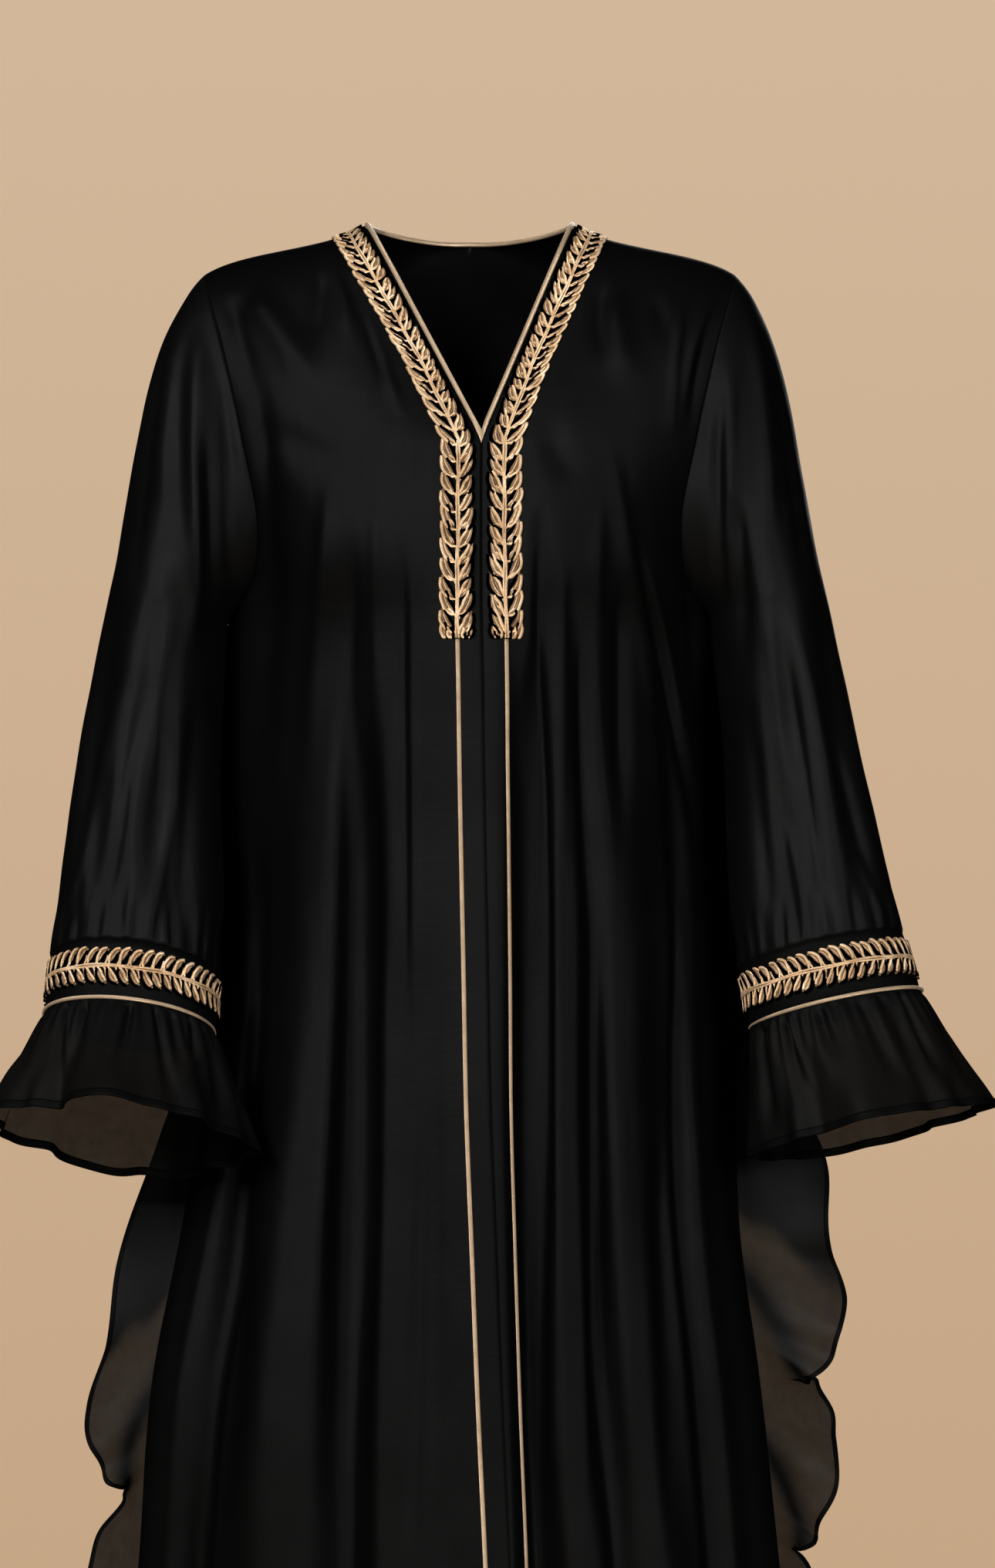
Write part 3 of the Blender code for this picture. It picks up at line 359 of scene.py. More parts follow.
SLEEVE_CREASES = {
    ("right", FRONT): creases(
        (-206, -60, -220, -140, -222, -250, 8, 2.6),
        (-222, -84, -236, -170, -246, -300, 5, -2.0),
        (-178, -90, -174, -180, -175, -310, 8, -3.0),
        (-199, -80, -198, -180, -199, -330, 10, 5.5),
        (-192, -150, -190, -230, -192, -330, 6, -3.0),
        (-200, -130, -200, -230, -204, -340, 5, 2.2),
        (-214, -270, -228, -360, -236, -470, 8, 3.0),
        (-232, -330, -250, -430, -264, -540, 6, -2.4),
        (-254, -340, -272, -440, -290, -545, 6, 2.2),
        (-198, -340, -204, -440, -206, -545, 7, -2.6),
        (-214, -420, -224, -490, -232, -548, 5, 2.0),
        (-244, -470, -252, -510, -256, -550, 4, -1.6),
        (-276, -470, -286, -510, -294, -550, 4, -1.6),
    ),
    ("left", FRONT): creases(
        (204, -62, 216, -150, 220, -260, 7, 2.6),
        (192, -100, 190, -190, 196, -300, 6, 2.2),
        (184, -130, 182, -220, 190, -320, 5, -2.6),
        (193, -200, 197, -260, 200, -340, 7, -4.5),
        (220, -90, 236, -180, 248, -290, 5, -2.0),
        (216, -270, 226, -360, 238, -470, 8, 2.8),
        (236, -290, 258, -400, 280, -530, 6, 2.4),
        (226, -300, 244, -420, 262, -535, 6, -2.8),
        (202, -350, 212, -440, 218, -535, 6, -2.4),
        (254, -350, 280, -440, 300, -530, 5, -2.0),
        (230, -440, 240, -490, 246, -540, 4, 1.6),
        (282, -460, 294, -500, 304, -535, 4, 1.6),
    ),
    ("right", BACK): creases(
        (-206, -64, -222, -170, -226, -280, 8, 2.4),
        (-190, -120, -196, -230, -214, -340, 6, -2.4),
        (-226, -250, -240, -370, -250, -500, 8, 2.6),
        (-208, -330, -222, -440, -232, -540, 6, -2.4),
        (-262, -350, -278, -450, -290, -545, 5, 2.0),
    ),
    ("left", BACK): creases(
        (206, -64, 220, -170, 224, -280, 8, 2.4),
        (192, -120, 196, -230, 212, -340, 6, -2.4),
        (228, -250, 244, -370, 256, -490, 8, 2.6),
        (210, -330, 226, -440, 238, -530, 6, -2.4),
        (266, -340, 286, -440, 302, -530, 5, 2.0),
    ),
}

BODY_COLUMNS = 104
SLEEVE_COLUMNS = 128
UPPER_SLEEVE_ROWS = 53
LOWER_SLEEVE_ROWS = 79
RUFFLE_COLUMNS = 360
RUFFLE_HEM = 0.0062
FLOUNCE_HEM = 0.0036
FLOOR_LEVEL = -1.47
CAMERA_PLACE = (0.0207, -3.2, -0.416)
# Height of what the camera sees at the garment's middle plane.
CAMERA_VIEW = 1.1690
ROOM_LIGHT = 0.05
LIGHTS = (
    ("key", (-1.65, -3.05, 1.15), (0, 0, -0.35), 1.2, 192, (1.0, 0.98, 0.95)),
    ("fill", (1.7, -3.05, 0.25), (0, 0, -0.5), 1.5, 92, (1.0, 0.99, 0.97)),
    ("back", (0.5, 3.3, 0.7), (0, 0, -0.6), 1.8, 65, (1.0, 0.98, 0.95)),
)
CLOTH_THICKNESS = 0.0008
BAND_THICKNESS = 0.0012
BAND_SWELL = 0.0006
CREASE_GAIN = 1.45
SLEEVE_LEAN_IN = 0.0055
UNDERARM_BLEND = 0.022
# Where the body's side bulges: how far, at what drop, and how far up and down.
POUCHES = {
    "right": ((0.0045, UNDERARM_DROP + 0.018, 0.040),),
    "left": ((0.0045, UNDERARM_DROP + 0.018, 0.040), (0.0050, 0.600, 0.050)),
}
# Uneven swells of the cloth: how high, how wide, how much longer down than across, and a seed.
BODY_SWELLS = ((0.0011, 0.055, 3.0, 5), (0.00045, 0.021, 2.2, 9))
SLEEVE_SWELLS = ((0.0010, 0.050, 2.6, 3), (0.0005, 0.020, 2.0, 7))
SLEEVE_GATHER = 0.0011
POUCH_START = 0.80
# How far from the side, the front edge and the shoulder seam the cloth stays calm.
SIDE_CALM = 0.022
TRIM_CALM = 0.031
PIPING_CALM = 0.020
SHOULDER_CALM = 0.02
SEED = 11


def smooth(at, keys, values):
    """A cubic curve through a table's points, its keys rising, read at one or more places."""
    slopes = np.gradient(values, keys)
    at = np.clip(at, keys[0], keys[-1])
    place = np.clip(np.searchsorted(keys, at) - 1, 0, len(keys) - 2)
    step = keys[place + 1] - keys[place]
    t = (at - keys[place]) / step
    start = (1 + 2 * t) * (1 - t) ** 2 * values[place] + t * (1 - t) ** 2 * step * slopes[place]
    end = t * t * (3 - 2 * t) * values[place + 1] - t * t * (1 - t) * step * slopes[place + 1]
    return start + end


def ease(low, high, at):
    """A soft step from 0 to 1."""
    t = np.clip((at - low) / (high - low), 0, 1)
    return t * t * (3 - 2 * t)


def bell(distance):
    """1 at the middle and 0 from a distance of 1 outward."""
    return 0.5 + 0.5 * np.cos(np.pi * np.clip(distance, -1, 1))


def unit(vectors):
    return vectors / np.maximum(np.linalg.norm(vectors, axis=-1, keepdims=True), 1e-12)


def distances_along(points):
    """Distance of each point from the first, along the line."""
    steps = np.linalg.norm(np.diff(points, axis=0), axis=1)
    return np.concatenate([[0], np.cumsum(steps)])


def at_distances(wanted, along, line):
    """Points at distances along a line, whose own points lie at known ones."""
    return np.stack([np.interp(wanted, along, axis) for axis in line.T], axis=1)


def read(columns, name, at):
    return smooth(at, columns["drop"], columns[name])


def armhole(side, face, place):
    """A point of the armhole seam, at a place from 0 at the shoulder to 1 under the arm."""
    angle = math.pi * place
    x = smooth(math.degrees(angle), ARMHOLE["angle"], ARMHOLE["x"])
    y = face * ARMHOLE_REACH[face] * math.sin(angle)
    fall = (UNDERARM_DROP - SHOULDER_TIP_DROP) * (1 - math.cos(angle)) / 2
    return np.array([side * x, y, -SHOULDER_TIP_DROP - fall])


def front_edge(side, place):
    """A point of a front panel's edge above the underarm: the V, then the centre front."""
    share = 1 - math.cos(math.pi * place)
    if share <= 1:
        roll = math.sqrt(1 - (1 - min(share / NECK_ROLL_SHARE, 1)) ** 2)
        x = side * NECK_HALF_WIDTH * (1 - share) + V_POINT[0] * share
        y = -NECK_ROLL * roll + (V_POINT[1] + NECK_ROLL) * share
        return np.array([x, y, V_POINT[2] * share])
    drop = -V_POINT[2] + (UNDERARM_DROP + V_POINT[2]) * (share - 1)
    x = read(CENTRE_FRONT, "opening_x", drop)
    return np.array([x, -read(CENTRE_FRONT, "depth", drop), -drop])


def back_edge(side, place):
    """A point of half the back's edge above the underarm: the neckline, then the centre."""
    if place <= BACK_NECK_END:
        angle = math.pi / 2 * place / BACK_NECK_END
        x = side * NECK_HALF_WIDTH * math.cos(angle)
        y = BACK_NECK_DEPTH * math.sin(angle)
        return np.array([x, y, -BACK_NECK_DROP * math.sin(angle) ** 2])
    share = (place - BACK_NECK_END) / (1 - BACK_NECK_END)
    drop = BACK_NECK_DROP + (UNDERARM_DROP - BACK_NECK_DROP) * share
    return np.array([0.0, read(CENTRE_BACK, "depth", drop), -drop])


def row_ends(side, face, place):
    """Ends and leads of one row of a quarter of the body. Places over 1 are below the arm."""
    if place <= 1:
        edge = front_edge if face == FRONT else back_edge
        leads = FRONT_LEADS if face == FRONT else BACK_LEADS
        names = ("in_x", "in_y", "in_z", "out_x", "out_y", "out_z")
        lead = np.array([smooth(place, leads["place"], leads[name]) for name in names])
        turn = np.array([side, 1, 1])
        return edge(side, place), lead[:3] * turn, lead[3:] * turn, armhole(side, face, place)
    drop = UNDERARM_DROP + (HEM_DROP - UNDERARM_DROP) * (place - 1)
    axis = read(TORSO, "axis_x", drop)
    half = read(TORSO, "half_width", drop)
    depth = face * read(TORSO, "front" if face == FRONT else "back", drop)
    inner_x = read(TORSO, "opening_x", drop) if face == FRONT else axis
    fade = 1 - ease(UNDERARM_DROP, UNDERARM_DROP + BUST_LEAD_FADE, drop)
    outer_x = axis + side * half
    lead_in = np.array([LEAD_IN_SHARE * (outer_x - inner_x), BUST_LEAD[face] * fade, 0])
    round_off = ease(*LEAD_OUT_DROPS, drop)
    share = LEAD_OUT_SHARES[0] + (LEAD_OUT_SHARES[1] - LEAD_OUT_SHARES[0]) * round_off
    side_y = read(TORSO, "side_y", drop)
    lead_out = np.array([-side * read(TORSO, "side_in", drop), share * (depth - side_y), 0])
    outer = np.array([outer_x, side_y, -drop])
    return np.array([inner_x, depth, -drop]), lead_in, lead_out, outer


def bezier(start, lead_in, lead_out, end):
    t = np.linspace(0, 1, 160)[:, None]
    near = (1 - t) ** 3 * start + 3 * (1 - t) ** 2 * t * (start + lead_in)
    return near + 3 * (1 - t) * t**2 * (end + lead_out) + t**3 * end


def spread(curve, shares):
    """Points at shares of a curve's length."""
    along = distances_along(curve)
    return at_distances(shares * along[-1], along, curve)


def fold_depth(folds, girth, drop):
    """How far the folds push the cloth in, at signed shares of a quarter of the girth."""
    fan = np.clip((drop - FOLD_FAN_START) / (HEM_DROP - FOLD_FAN_START), 0, 1)
    total = np.zeros_like(girth)
    names = ("at_bust", "at_hem", "half_width", "depth", "start")
    for at_bust, at_hem, half, depth, start in zip(*(folds[name] for name in names)):
        centre = at_bust + (at_hem - at_bust) * fan
        growth = 1 - np.exp(-np.maximum(drop - start, 0) / FOLD_GROWTH)
        total += depth * growth * bell((girth - centre) / half)
    return total


def fold_row(points, shares, side, face):
    """Moves one row of a quarter in and out by the body's folds."""
    folds = FRONT_FOLDS if face == FRONT else BACK_FOLDS
    depth = fold_depth(folds, side * shares, -points[:, 2])
    depth *= 1 - ease(*FOLD_SIDE_FADE, shares)
    along = np.gradient(points[:, :2], axis=0)
    outward = np.stack([along[:, 1], -along[:, 0]], axis=1) * -side * face
    middle = (1 - ease(0, FOLD_CENTRE_BLEND, shares))[:, None]
    outward = unit(unit(outward) * (1 - middle) + np.array([0, face]) * middle)
    moved = points.copy()
    moved[:, :2] -= outward * depth[:, None]
    return moved


def quarter_rows(side, face, places):
    """Rows of a quarter of the body, each evenly spread from its edge to its side."""
    even = np.linspace(0, 1, 260)
    rows = []
    for place in places:
        curve = bezier(*row_ends(side, face, place))
        folded = fold_row(spread(curve, even), even, side, face)
        rows.append(spread(folded, np.linspace(0, 1, BODY_COLUMNS)))
    return np.array(rows)


def body_places(face):
    """Rows of a quarter, one of them at the end of the neckline."""
    neck = 0.5 if face == FRONT else BACK_NECK_END
    neck_rows = round(66 * neck)
    upper = np.linspace(0, neck, neck_rows)
    arm = np.arccos(np.linspace(math.cos(math.pi * neck), -1, 66 - neck_rows))[1:] / math.pi
    lower = 1 + np.linspace(0, 1, 100)[1:]
    return np.concatenate([upper, arm, lower])


def soften_underarm(grid):
    """Evens out the cloth's fall where the armhole's rows meet the level ones."""
    made = grid.copy()
    for j in range(grid.shape[1]):
        z = grid[:, j, 2]
        spacing = np.abs(np.gradient(z))
        gap = (z[:, None] - z[None, :]) / UNDERARM_BLEND
        weight = np.exp(-(gap**2)) * spacing[None, :]
        weight /= weight.sum(axis=1, keepdims=True)
        mean = weight @ grid[:, j]
        near = 1 - ease(1.5, 5.0, np.abs(z + UNDERARM_DROP) / UNDERARM_BLEND)
        inside = 1 - ease(0.80, 0.985, j / (grid.shape[1] - 1))
        made[:, j, :2] += (mean - grid[:, j])[:, :2] * (near * inside)[:, None]
    return made


def read_cloth(grid, face, places, distances):
    """Points of a quarter's finished cloth, at places down it and distances from its edge."""
    rows = np.interp(places, body_places(face), np.arange(len(grid)))
    found = []
    distances = np.broadcast_to(distances, (len(rows), np.shape(distances)[-1]))
    for row, wanted in zip(rows, distances):
        i = min(int(row), len(grid) - 2)
        line = grid[i] + (grid[i + 1] - grid[i]) * (row - i)
        found.append(at_distances(wanted, distances_along(line), line))
    return np.array(found)


def ring_centre(side, section):
    return np.array([side * section[0], section[1], section[2]])


def ring_ways(side, section):
    """A ring's two directions: across to the outer side, and ahead to the front."""
    side_lean, front_lean = (math.radians(lean) for lean in section[5:7])
    across = np.array([side * math.cos(side_lean), 0, math.sin(side_lean)])
    return across, np.array([0, -math.cos(front_lean), math.sin(front_lean)])


def ring(side, section, angles):
    """A leaning oval. Angles run from the outer side to the front."""
    across, ahead = ring_ways(side, section)
    reach = section[3] * np.cos(angles)[:, None] * across
    return ring_centre(side, section) + reach + section[4] * np.sin(angles)[:, None] * ahead


def sections_of(columns):
    return np.stack(list(columns.values()), axis=1)


def angle_gap(a, b):
    """Distance between angles in degrees, the short way round."""
    return np.abs((a - b + 180) % 360 - 180)


def sleeve_rows(name, count):
    """Rings of a sleeve, from the armhole to the cuff band."""
    side = SIDES[name]
    angles = np.linspace(0, 2 * math.pi, count, endpoint=False)
    half = count // 2
    first = []
    for column in range(count):
        behind = column > half
        place = (count - column if behind else column) / half
        first.append(armhole(side, BACK if behind else FRONT, place))
    first = np.array(first)
    sections = sections_of(SLEEVES[name])
    second = ring(side, sections[0], angles)
    third = ring(side, sections[1], angles)
    under = ((1 - np.cos(angles)) / 2)[:, None]
    lead = np.array(SLEEVE_TOP_LEAD[name]) * (1 - under) + np.array(SLEEVE_UNDER_LEAD) * under
    lead = lead * np.array([side, 1, 1])
    lead[:, 1] -= SLEEVE_FRONT_LEAD * np.sin(angles)
    reach = np.linalg.norm(second - first, axis=1, keepdims=True)
    over, below = SLEEVE_LEAD_SHARES[name]
    lead = unit(lead) * reach * (over * (1 - under) + below * under)
    follow = unit(third - second) * reach
    rows = []
    for t in np.linspace(0, 1, UPPER_SLEEVE_ROWS):
        start = (1 + 2 * t) * (1 - t) ** 2 * first + t * (1 - t) ** 2 * lead
        end = t * t * (3 - 2 * t) * second - t * t * (1 - t) * follow
        rows.append(start + end)
    keys = np.arange(len(sections), dtype=float)
    places = np.linspace(0, keys[-1], LOWER_SLEEVE_ROWS)
    degrees = np.degrees(angles)
    for place in places[1:]:
        section = [smooth(place, keys, column) for column in sections.T]
        loop = ring(side, section, angles)
        share = place / keys[-1]
        outward = unit(loop - ring_centre(side, section))
        strength = math.sin(math.pi * share**0.8)
        for top, low, width, depth in zip(*SLEEVE_FOLDS.values()):
            centre = top + (low - top) * share
            hollow = depth * strength * bell(angle_gap(degrees, centre) / width)
            loop = loop - outward * hollow[:, None]
        # The fullness is gathered a little into the cuff band.
        gather = SLEEVE_GATHER * ease(0.80, 0.97, share) * (1 - 0.8 * ease(0.985, 1.0, share))
        wave = np.sin(26 * angles + 1.3 * np.sin(3 * angles)) + 0.5 * np.sin(41 * angles + 1)
        rows.append(loop + outward * (gather * wave)[:, None])
    grid = np.array(rows)
    # The inner side hangs close to the body.
    inner = bell(angle_gap(degrees, 180) / 80)[None, :]
    low = ease(-0.272, -0.296, grid[..., 2]) * (1 - ease(-0.50, -0.548, grid[..., 2]))
    grid[..., 0] -= side * SLEEVE_LEAN_IN * inner * low
    return grid


def grid_normals(grid, wrap=False):
    """Unit normals of a grid of points."""
    down = np.gradient(grid, axis=0)
    if wrap:
        across = np.roll(grid, -1, axis=1) - np.roll(grid, 1, axis=1)
    else:
        across = np.gradient(grid, axis=1)
    return unit(np.cross(down, across))


def turn_to(normals, toward):
    return normals if (normals * toward).sum() > 0 else -normals


def crease_lift(grid, placed):
    """How far the listed creases lift each point, in metres."""
    flat = grid[..., [0, 2]].reshape(-1, 1, 2) * 1000
    lift = np.zeros(len(flat))
    t = np.linspace(0, 1, 15)[:, None]
    for x0, z0, x1, z1, x2, z2, half_width, height in zip(*placed.values()):
        low, high = np.array([x0, z0]), np.array([x2, z2])
        middle = 2 * np.array([x1, z1]) - 0.5 * (low + high)
        path = (1 - t) ** 2 * low + 2 * t * (1 - t) * middle + t**2 * high
        steps = np.diff(path, axis=0)
        along = ((flat - path[:-1]) * steps).sum(axis=-1) / (steps**2).sum(axis=-1)
        along = np.clip(along, 0, 1)
        gap = np.linalg.norm(flat - path[:-1] - along[..., None] * steps, axis=-1)
        nearest = gap.argmin(axis=1)
        pick = np.arange(len(flat)), nearest
        share = (nearest + along[pick]) / len(steps)
        rise = ease(-0.02, 0.32, share) * (1 - ease(0.62, 1.02, share))
        width = half_width * (0.75 + 0.35 * share)
        lift += height * rise * np.exp(-((gap[pick] / width) ** 2))
    return lift.reshape(grid.shape[:2]) / 1000


def rumple(grid, swells, turn):
    """Soft uneven swells of the cloth, longer down than across."""
    lift = 0.0
    for height, scale, stretch, seed in swells:
        value = np.empty(grid.shape[:2])
        for i, row in enumerate(grid):
            for j, (x, y, z) in enumerate(row):
                down = z / (scale * stretch) + SEED + seed * turn
                value[i, j] = noise.noise(Vector((x / scale, y / scale, down)))
        lift = lift + height * value
    return lift


class Tree:
    """The nodes of a material or of the world, each added and joined in one call."""

    def __init__(self, owner):
        owner.use_nodes = True
        self.owner = owner
        self.nodes = owner.node_tree.nodes
        self.links = owner.node_tree.links

    def put(self, node, **values):
        """Sets a node's properties and inputs. A socket among the values is joined to its input."""
        for name, value in values.items():
            if hasattr(node, name):
                setattr(node, name, value)
                continue
            socket = node.inputs[name.replace("_", " ")]
            if isinstance(value, bpy.types.NodeSocket):
                self.links.new(value, socket)
            else:
                socket.default_value = value
        return node

    def add(self, kind, output, **values):
        """Adds a node and gives one of its outputs."""
        return self.put(self.nodes.new("ShaderNode" + kind), **values).outputs[output]

    def join(self, kind, output, first, *sources, **values):
        """Adds a node whose inputs, from the numbered one on, take the sources in turn."""
        node = self.put(self.nodes.new("ShaderNode" + kind), **values)
        for number, source in enumerate(sources, first):
            self.links.new(source, node.inputs[number])
        return node.outputs[output]

    def ramp(self, factor, stops):
        ramp = self.nodes.new("ShaderNodeValToRGB")
        elements = ramp.color_ramp.elements
        for element, (place, colour) in zip(elements, (stops[0], stops[-1])):
            element.position, element.color = place, (*colour, 1.0)
        for place, colour in stops[1:-1]:
            elements.new(place).color = (*colour, 1.0)
        self.links.new(factor, ramp.inputs["Fac"])
        return ramp.outputs["Color"]


def cloth_material(name, tones, rough, gloss, alpha=None, tucked_and_shaded=False):
    """Crepe: a fine weave and an uneven tone. Alpha makes it sheer; tucks and painted shade make it
    less so.
    """
    tree = Tree(bpy.data.materials.new(name))
    place = tree.add("TexCoord", "Object")
    cloud = tree.add("TexNoise", "Fac", Vector=place, Scale=9.0, Detail=4.0, Roughness=0.6)
    weave = [
        tree.add("TexWave", "Fac", Vector=place, bands_direction=way, **WEAVE) for way in ("X", "Z")
    ]
    grain = tree.add("TexNoise", "Fac", Vector=place, Scale=900.0, Detail=2.0)
    both = tree.join("Math", "Value", 0, *weave, operation="ADD")
    relief = tree.join("Math", "Value", 0, both, grain, operation="ADD")
    dark, light = tones
    shader = tree.put(
        tree.nodes["Principled BSDF"],
        Roughness=rough,
        Metallic=gloss,
        Specular_IOR_Level=0.0,
        Specular_Tint=(0.08, 0.08, 0.08, 1),
        Base_Color=tree.ramp(cloud, ((0.3, dark), (0.7, light))),
        Normal=tree.add("Bump", "Normal", Height=relief, Strength=0.22, Distance=0.0004),
    )
    if alpha is not None:
        # Threads that lie closer let less light through.
        slub = tree.add("TexNoise", "Fac", Vector=place, Scale=120.0, Detail=3.0)
        reach = {"To_Min": alpha - SLUB_REACH, "To_Max": alpha + SLUB_REACH}
        cover = tree.add("MapRange", "Result", Value=slub, From_Min=0.3, From_Max=0.7, **reach)
        # Where the cover attribute says so the cloth is opaque: for tucked layers, and as painted
        # shade.
        if tucked_and_shaded:
            layers = tree.add("Attribute", "Fac", attribute_name="cover")
            mixed = {"data_type": "FLOAT", "Factor": layers, "A": cover, "B": 1.0}
            cover = tree.add("Mix", "Result", **mixed)
        tree.put(shader, Alpha=cover)
    return tree.owner


def thread_material(name, stops, rough, metallic, twist):
    """Gold thread: strands wound along the cord, with lighter and darker stretches."""
    tree = Tree(bpy.data.materials.new(name))
    place = tree.add("TexCoord", "Object")
    patch = tree.add("TexNoise", "Fac", Vector=place, Scale=70.0, Detail=3.0, Roughness=0.55)
    fine = tree.add("TexNoise", "Fac", Vector=place, Scale=900.0, Detail=3.0, Roughness=0.7)
    blend = tree.add("Mix", "Result", data_type="FLOAT", Factor=0.42, A=patch, B=fine)
    along = tree.add("UVMap", "UV", uv_map="thread")
    wound = {"bands_direction": "DIAGONAL", "Scale": twist, "Distortion": 1.5, "Detail": 2.0}
    strand = tree.add("TexWave", "Fac", Vector=along, **wound)
    tree.put(
        tree.nodes["Principled BSDF"],
        Roughness=rough,
        Metallic=metallic,
        Sheen_Weight=0.15,
        Sheen_Tint=(1.0, 0.86, 0.66, 1),
        Base_Color=tree.ramp(blend, stops),
        Normal=tree.add("Bump", "Normal", Height=strand, Strength=0.7, Distance=0.0003),
    )
    return tree.owner


WEAVE = {"Scale": 520.0, "Distortion": 2.0, "Detail": 2.0}
SLUB_REACH = 0.006
GOLD_STOPS = (
    (0.34, (0.34, 0.190, 0.085)),
    (0.46, (0.66, 0.430, 0.240)),
    (0.56, (0.86, 0.620, 0.385)),
    (0.68, (1.00, 0.830, 0.610)),
)
FILL_STOPS = (
    (0.34, (0.060, 0.030, 0.012)),
    (0.50, (0.19, 0.105, 0.048)),
    (0.66, (0.40, 0.250, 0.130)),
)
PIPING_STOPS = (
    (0.32, (0.34, 0.235, 0.145)),
    (0.68, (0.52, 0.385, 0.255)),
)
# Each cloth's dark and light tone, roughness and gloss, and how much of it is thread.
BLACK_CLOTH = cloth_material(
    "black_crepe", ((0.0041, 0.0041, 0.0042), (0.0057, 0.0057, 0.0058)), 0.45, 0.72
)
SLEEVE_CLOTH = cloth_material(
    "black_sleeve_crepe", ((0.0054, 0.0054, 0.0055), (0.0078, 0.0078, 0.0079)), 0.44, 0.72
)
SHEER_CLOTH = cloth_material(
    "sheer_chiffon", ((0.0046, 0.0046, 0.0046), (0.0064, 0.0064, 0.0064)), 0.50, 0.60, 0.960
)
TUCKED_TONES = ((0.0065, 0.0065, 0.0067), (0.0095, 0.0095, 0.0097))
TUCKED_AND_SHADED_CLOTH = cloth_material("sheer_chiffon_tucked", TUCKED_TONES, 0.50, 0.40, 0.958, True)
BINDING_CLOTH = cloth_material(
    "hem_binding", ((0.0030, 0.0030, 0.0030), (0.0042, 0.0042, 0.0042)), 0.52, 0.55
)
GOLD_THREAD = thread_material("gold_thread", GOLD_STOPS, 0.42, 0.55, 900.0)
DARK_THREAD = thread_material("gold_thread_fill", FILL_STOPS, 0.50, 0.40, 900.0)
GOLD_PIPING = thread_material("gold_piping_satin", PIPING_STOPS, 0.38, 0.45, 700.0)


def make_mesh(name, points, faces, material, uvs=None):
    mesh = bpy.data.meshes.new(name)
    mesh.from_pydata(np.asarray(points).reshape(-1, 3).tolist(), [], faces)
    mesh.update()
    for polygon in mesh.polygons:
        polygon.use_smooth = True
    mesh.materials.append(material)
    if uvs is not None:
        layer = mesh.uv_layers.new(name="thread")
        corners = np.array([loop.vertex_index for loop in mesh.loops])
        layer.data.foreach_set("uv", np.asarray(uvs, np.float32)[corners].ravel())
    made = bpy.data.objects.new(name, mesh)
    bpy.context.scene.collection.objects.link(made)
    return made


def grid_faces(rows, columns, wrap=False, flip=False):
    faces = []
    last = columns if wrap else columns - 1
    for i in range(rows - 1):
        for j in range(last):
            k = (j + 1) % columns
            face = (i * columns + j, i * columns + k, (i + 1) * columns + k, (i + 1) * columns + j)
            faces.append(face[::-1] if flip else face)
    return faces


def thicken(made, thickness=CLOTH_THICKNESS):
    solidify = made.modifiers.new("thickness", "SOLIDIFY")
    solidify.thickness = thickness
    solidify.offset = -1.0
    return made


def shell(name, grid, normals, material, wrap=False, thickness=CLOTH_THICKNESS):
    """A thin shell: the grid is its outer side."""
    rows, columns = grid.shape[:2]
    i, j = rows // 2, columns // 3
    way = np.cross(grid[i, j + 1] - grid[i, j], grid[i + 1, j + 1] - grid[i, j])
    faces = grid_faces(rows, columns, wrap, way @ normals[i, j] < 0)
    return thicken(make_mesh(name, grid, faces, material), thickness)


def finish_piece(piece, slot, *nodes):
    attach(piece, "root")
    if nodes:
        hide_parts(*nodes)


def make_body():
    """Fronts and back, with the creases that the photo shows."""
    found = {}
    for name, side in SIDES.items():
        for face in (FRONT, BACK):
            places = body_places(face)
            grid = soften_underarm(quarter_rows(side, face, places))
            outer = ease(POUCH_START, 1.0, np.linspace(0, 1, grid.shape[1]))[None, :]
            for depth, drop, reach in POUCHES[name]:
                grid[..., 0] += side * depth * bell((-grid[..., 2] - drop) / reach) * outer
            normals = turn_to(grid_normals(grid), np.array([0, face, 0.0]))
            if face == BACK:
                middle = places > BACK_NECK_END - 1e-6
                normals[middle, 0, 0] = 0
                normals[:, 0] = unit(normals[:, 0])
            placed = FRONT_CREASES if face == FRONT else BACK_CREASES
            lift = CREASE_GAIN * crease_lift(grid, placed) + rumple(grid, BODY_SWELLS, face)
            across = np.array([distances_along(row) for row in grid])
            fade = ease(0.0, SIDE_CALM, across[:, -1:] - across)
            if face == FRONT:
                # The cloth lies flat under the embroidery, and under the piping below it.
                past = ease(TRIM_END_DROP, TRIM_END_DROP + 0.04, -grid[..., 2])
                clear = TRIM_CALM - (TRIM_CALM - PIPING_CALM) * past
                fade = fade * ease(0.0, 0.013, across - clear)
            fade = fade * ease(0.0, SHOULDER_CALM, grid[0, :, 2] - grid[:, :, 2])
            grid = grid + normals * (lift * fade)[..., None]
            found[name, face] = grid, turn_to(grid_normals(grid), np.array([0, face, 0.0]))
    return found


def main_body():
    quarters = make_body()
    for name in SIDES:
        grid, normals = quarters[name, FRONT]
        front = shell("cloth_front_" + name, grid, normals, BLACK_CLOTH)
        finish_piece(front, "black_cloth", "front_" + name)
    left, right = (quarters[name, BACK][0] for name in ("left", "right"))
    grid = np.concatenate([left[:, ::-1], right[:, 1:]], axis=1)
    # Above the neck's lowest point the two halves stand apart.
    count = left.shape[1]
    rows, columns = grid.shape[:2]
    split = np.linalg.norm(left[:, 0] - right[:, 0], axis=1) > 1e-4
    points = [grid.reshape(-1, 3)]
    index = np.arange(rows * columns).reshape(rows, columns)
    twin = index.copy()
    for i in np.flatnonzero(split):
        twin[i, count - 1] = rows * columns + len(points) - 1
        points.append(right[i, :1])
    faces = []
    for i in range(rows - 1):
        for j in range(columns - 1):
            number = twin if j >= count - 1 else index
            corners = number[i, j], number[i + 1, j], number[i + 1, j + 1], number[i, j + 1]
            faces.append(tuple(map(int, corners)))
    back = make_mesh("cloth_back", np.concatenate(points), faces, BLACK_CLOTH)
    if back.data.polygons[len(faces) // 2].normal.y < 0:
        back.data.flip_normals()
    thicken(back)
    finish_piece(back, "black_cloth", "back")
    return quarters


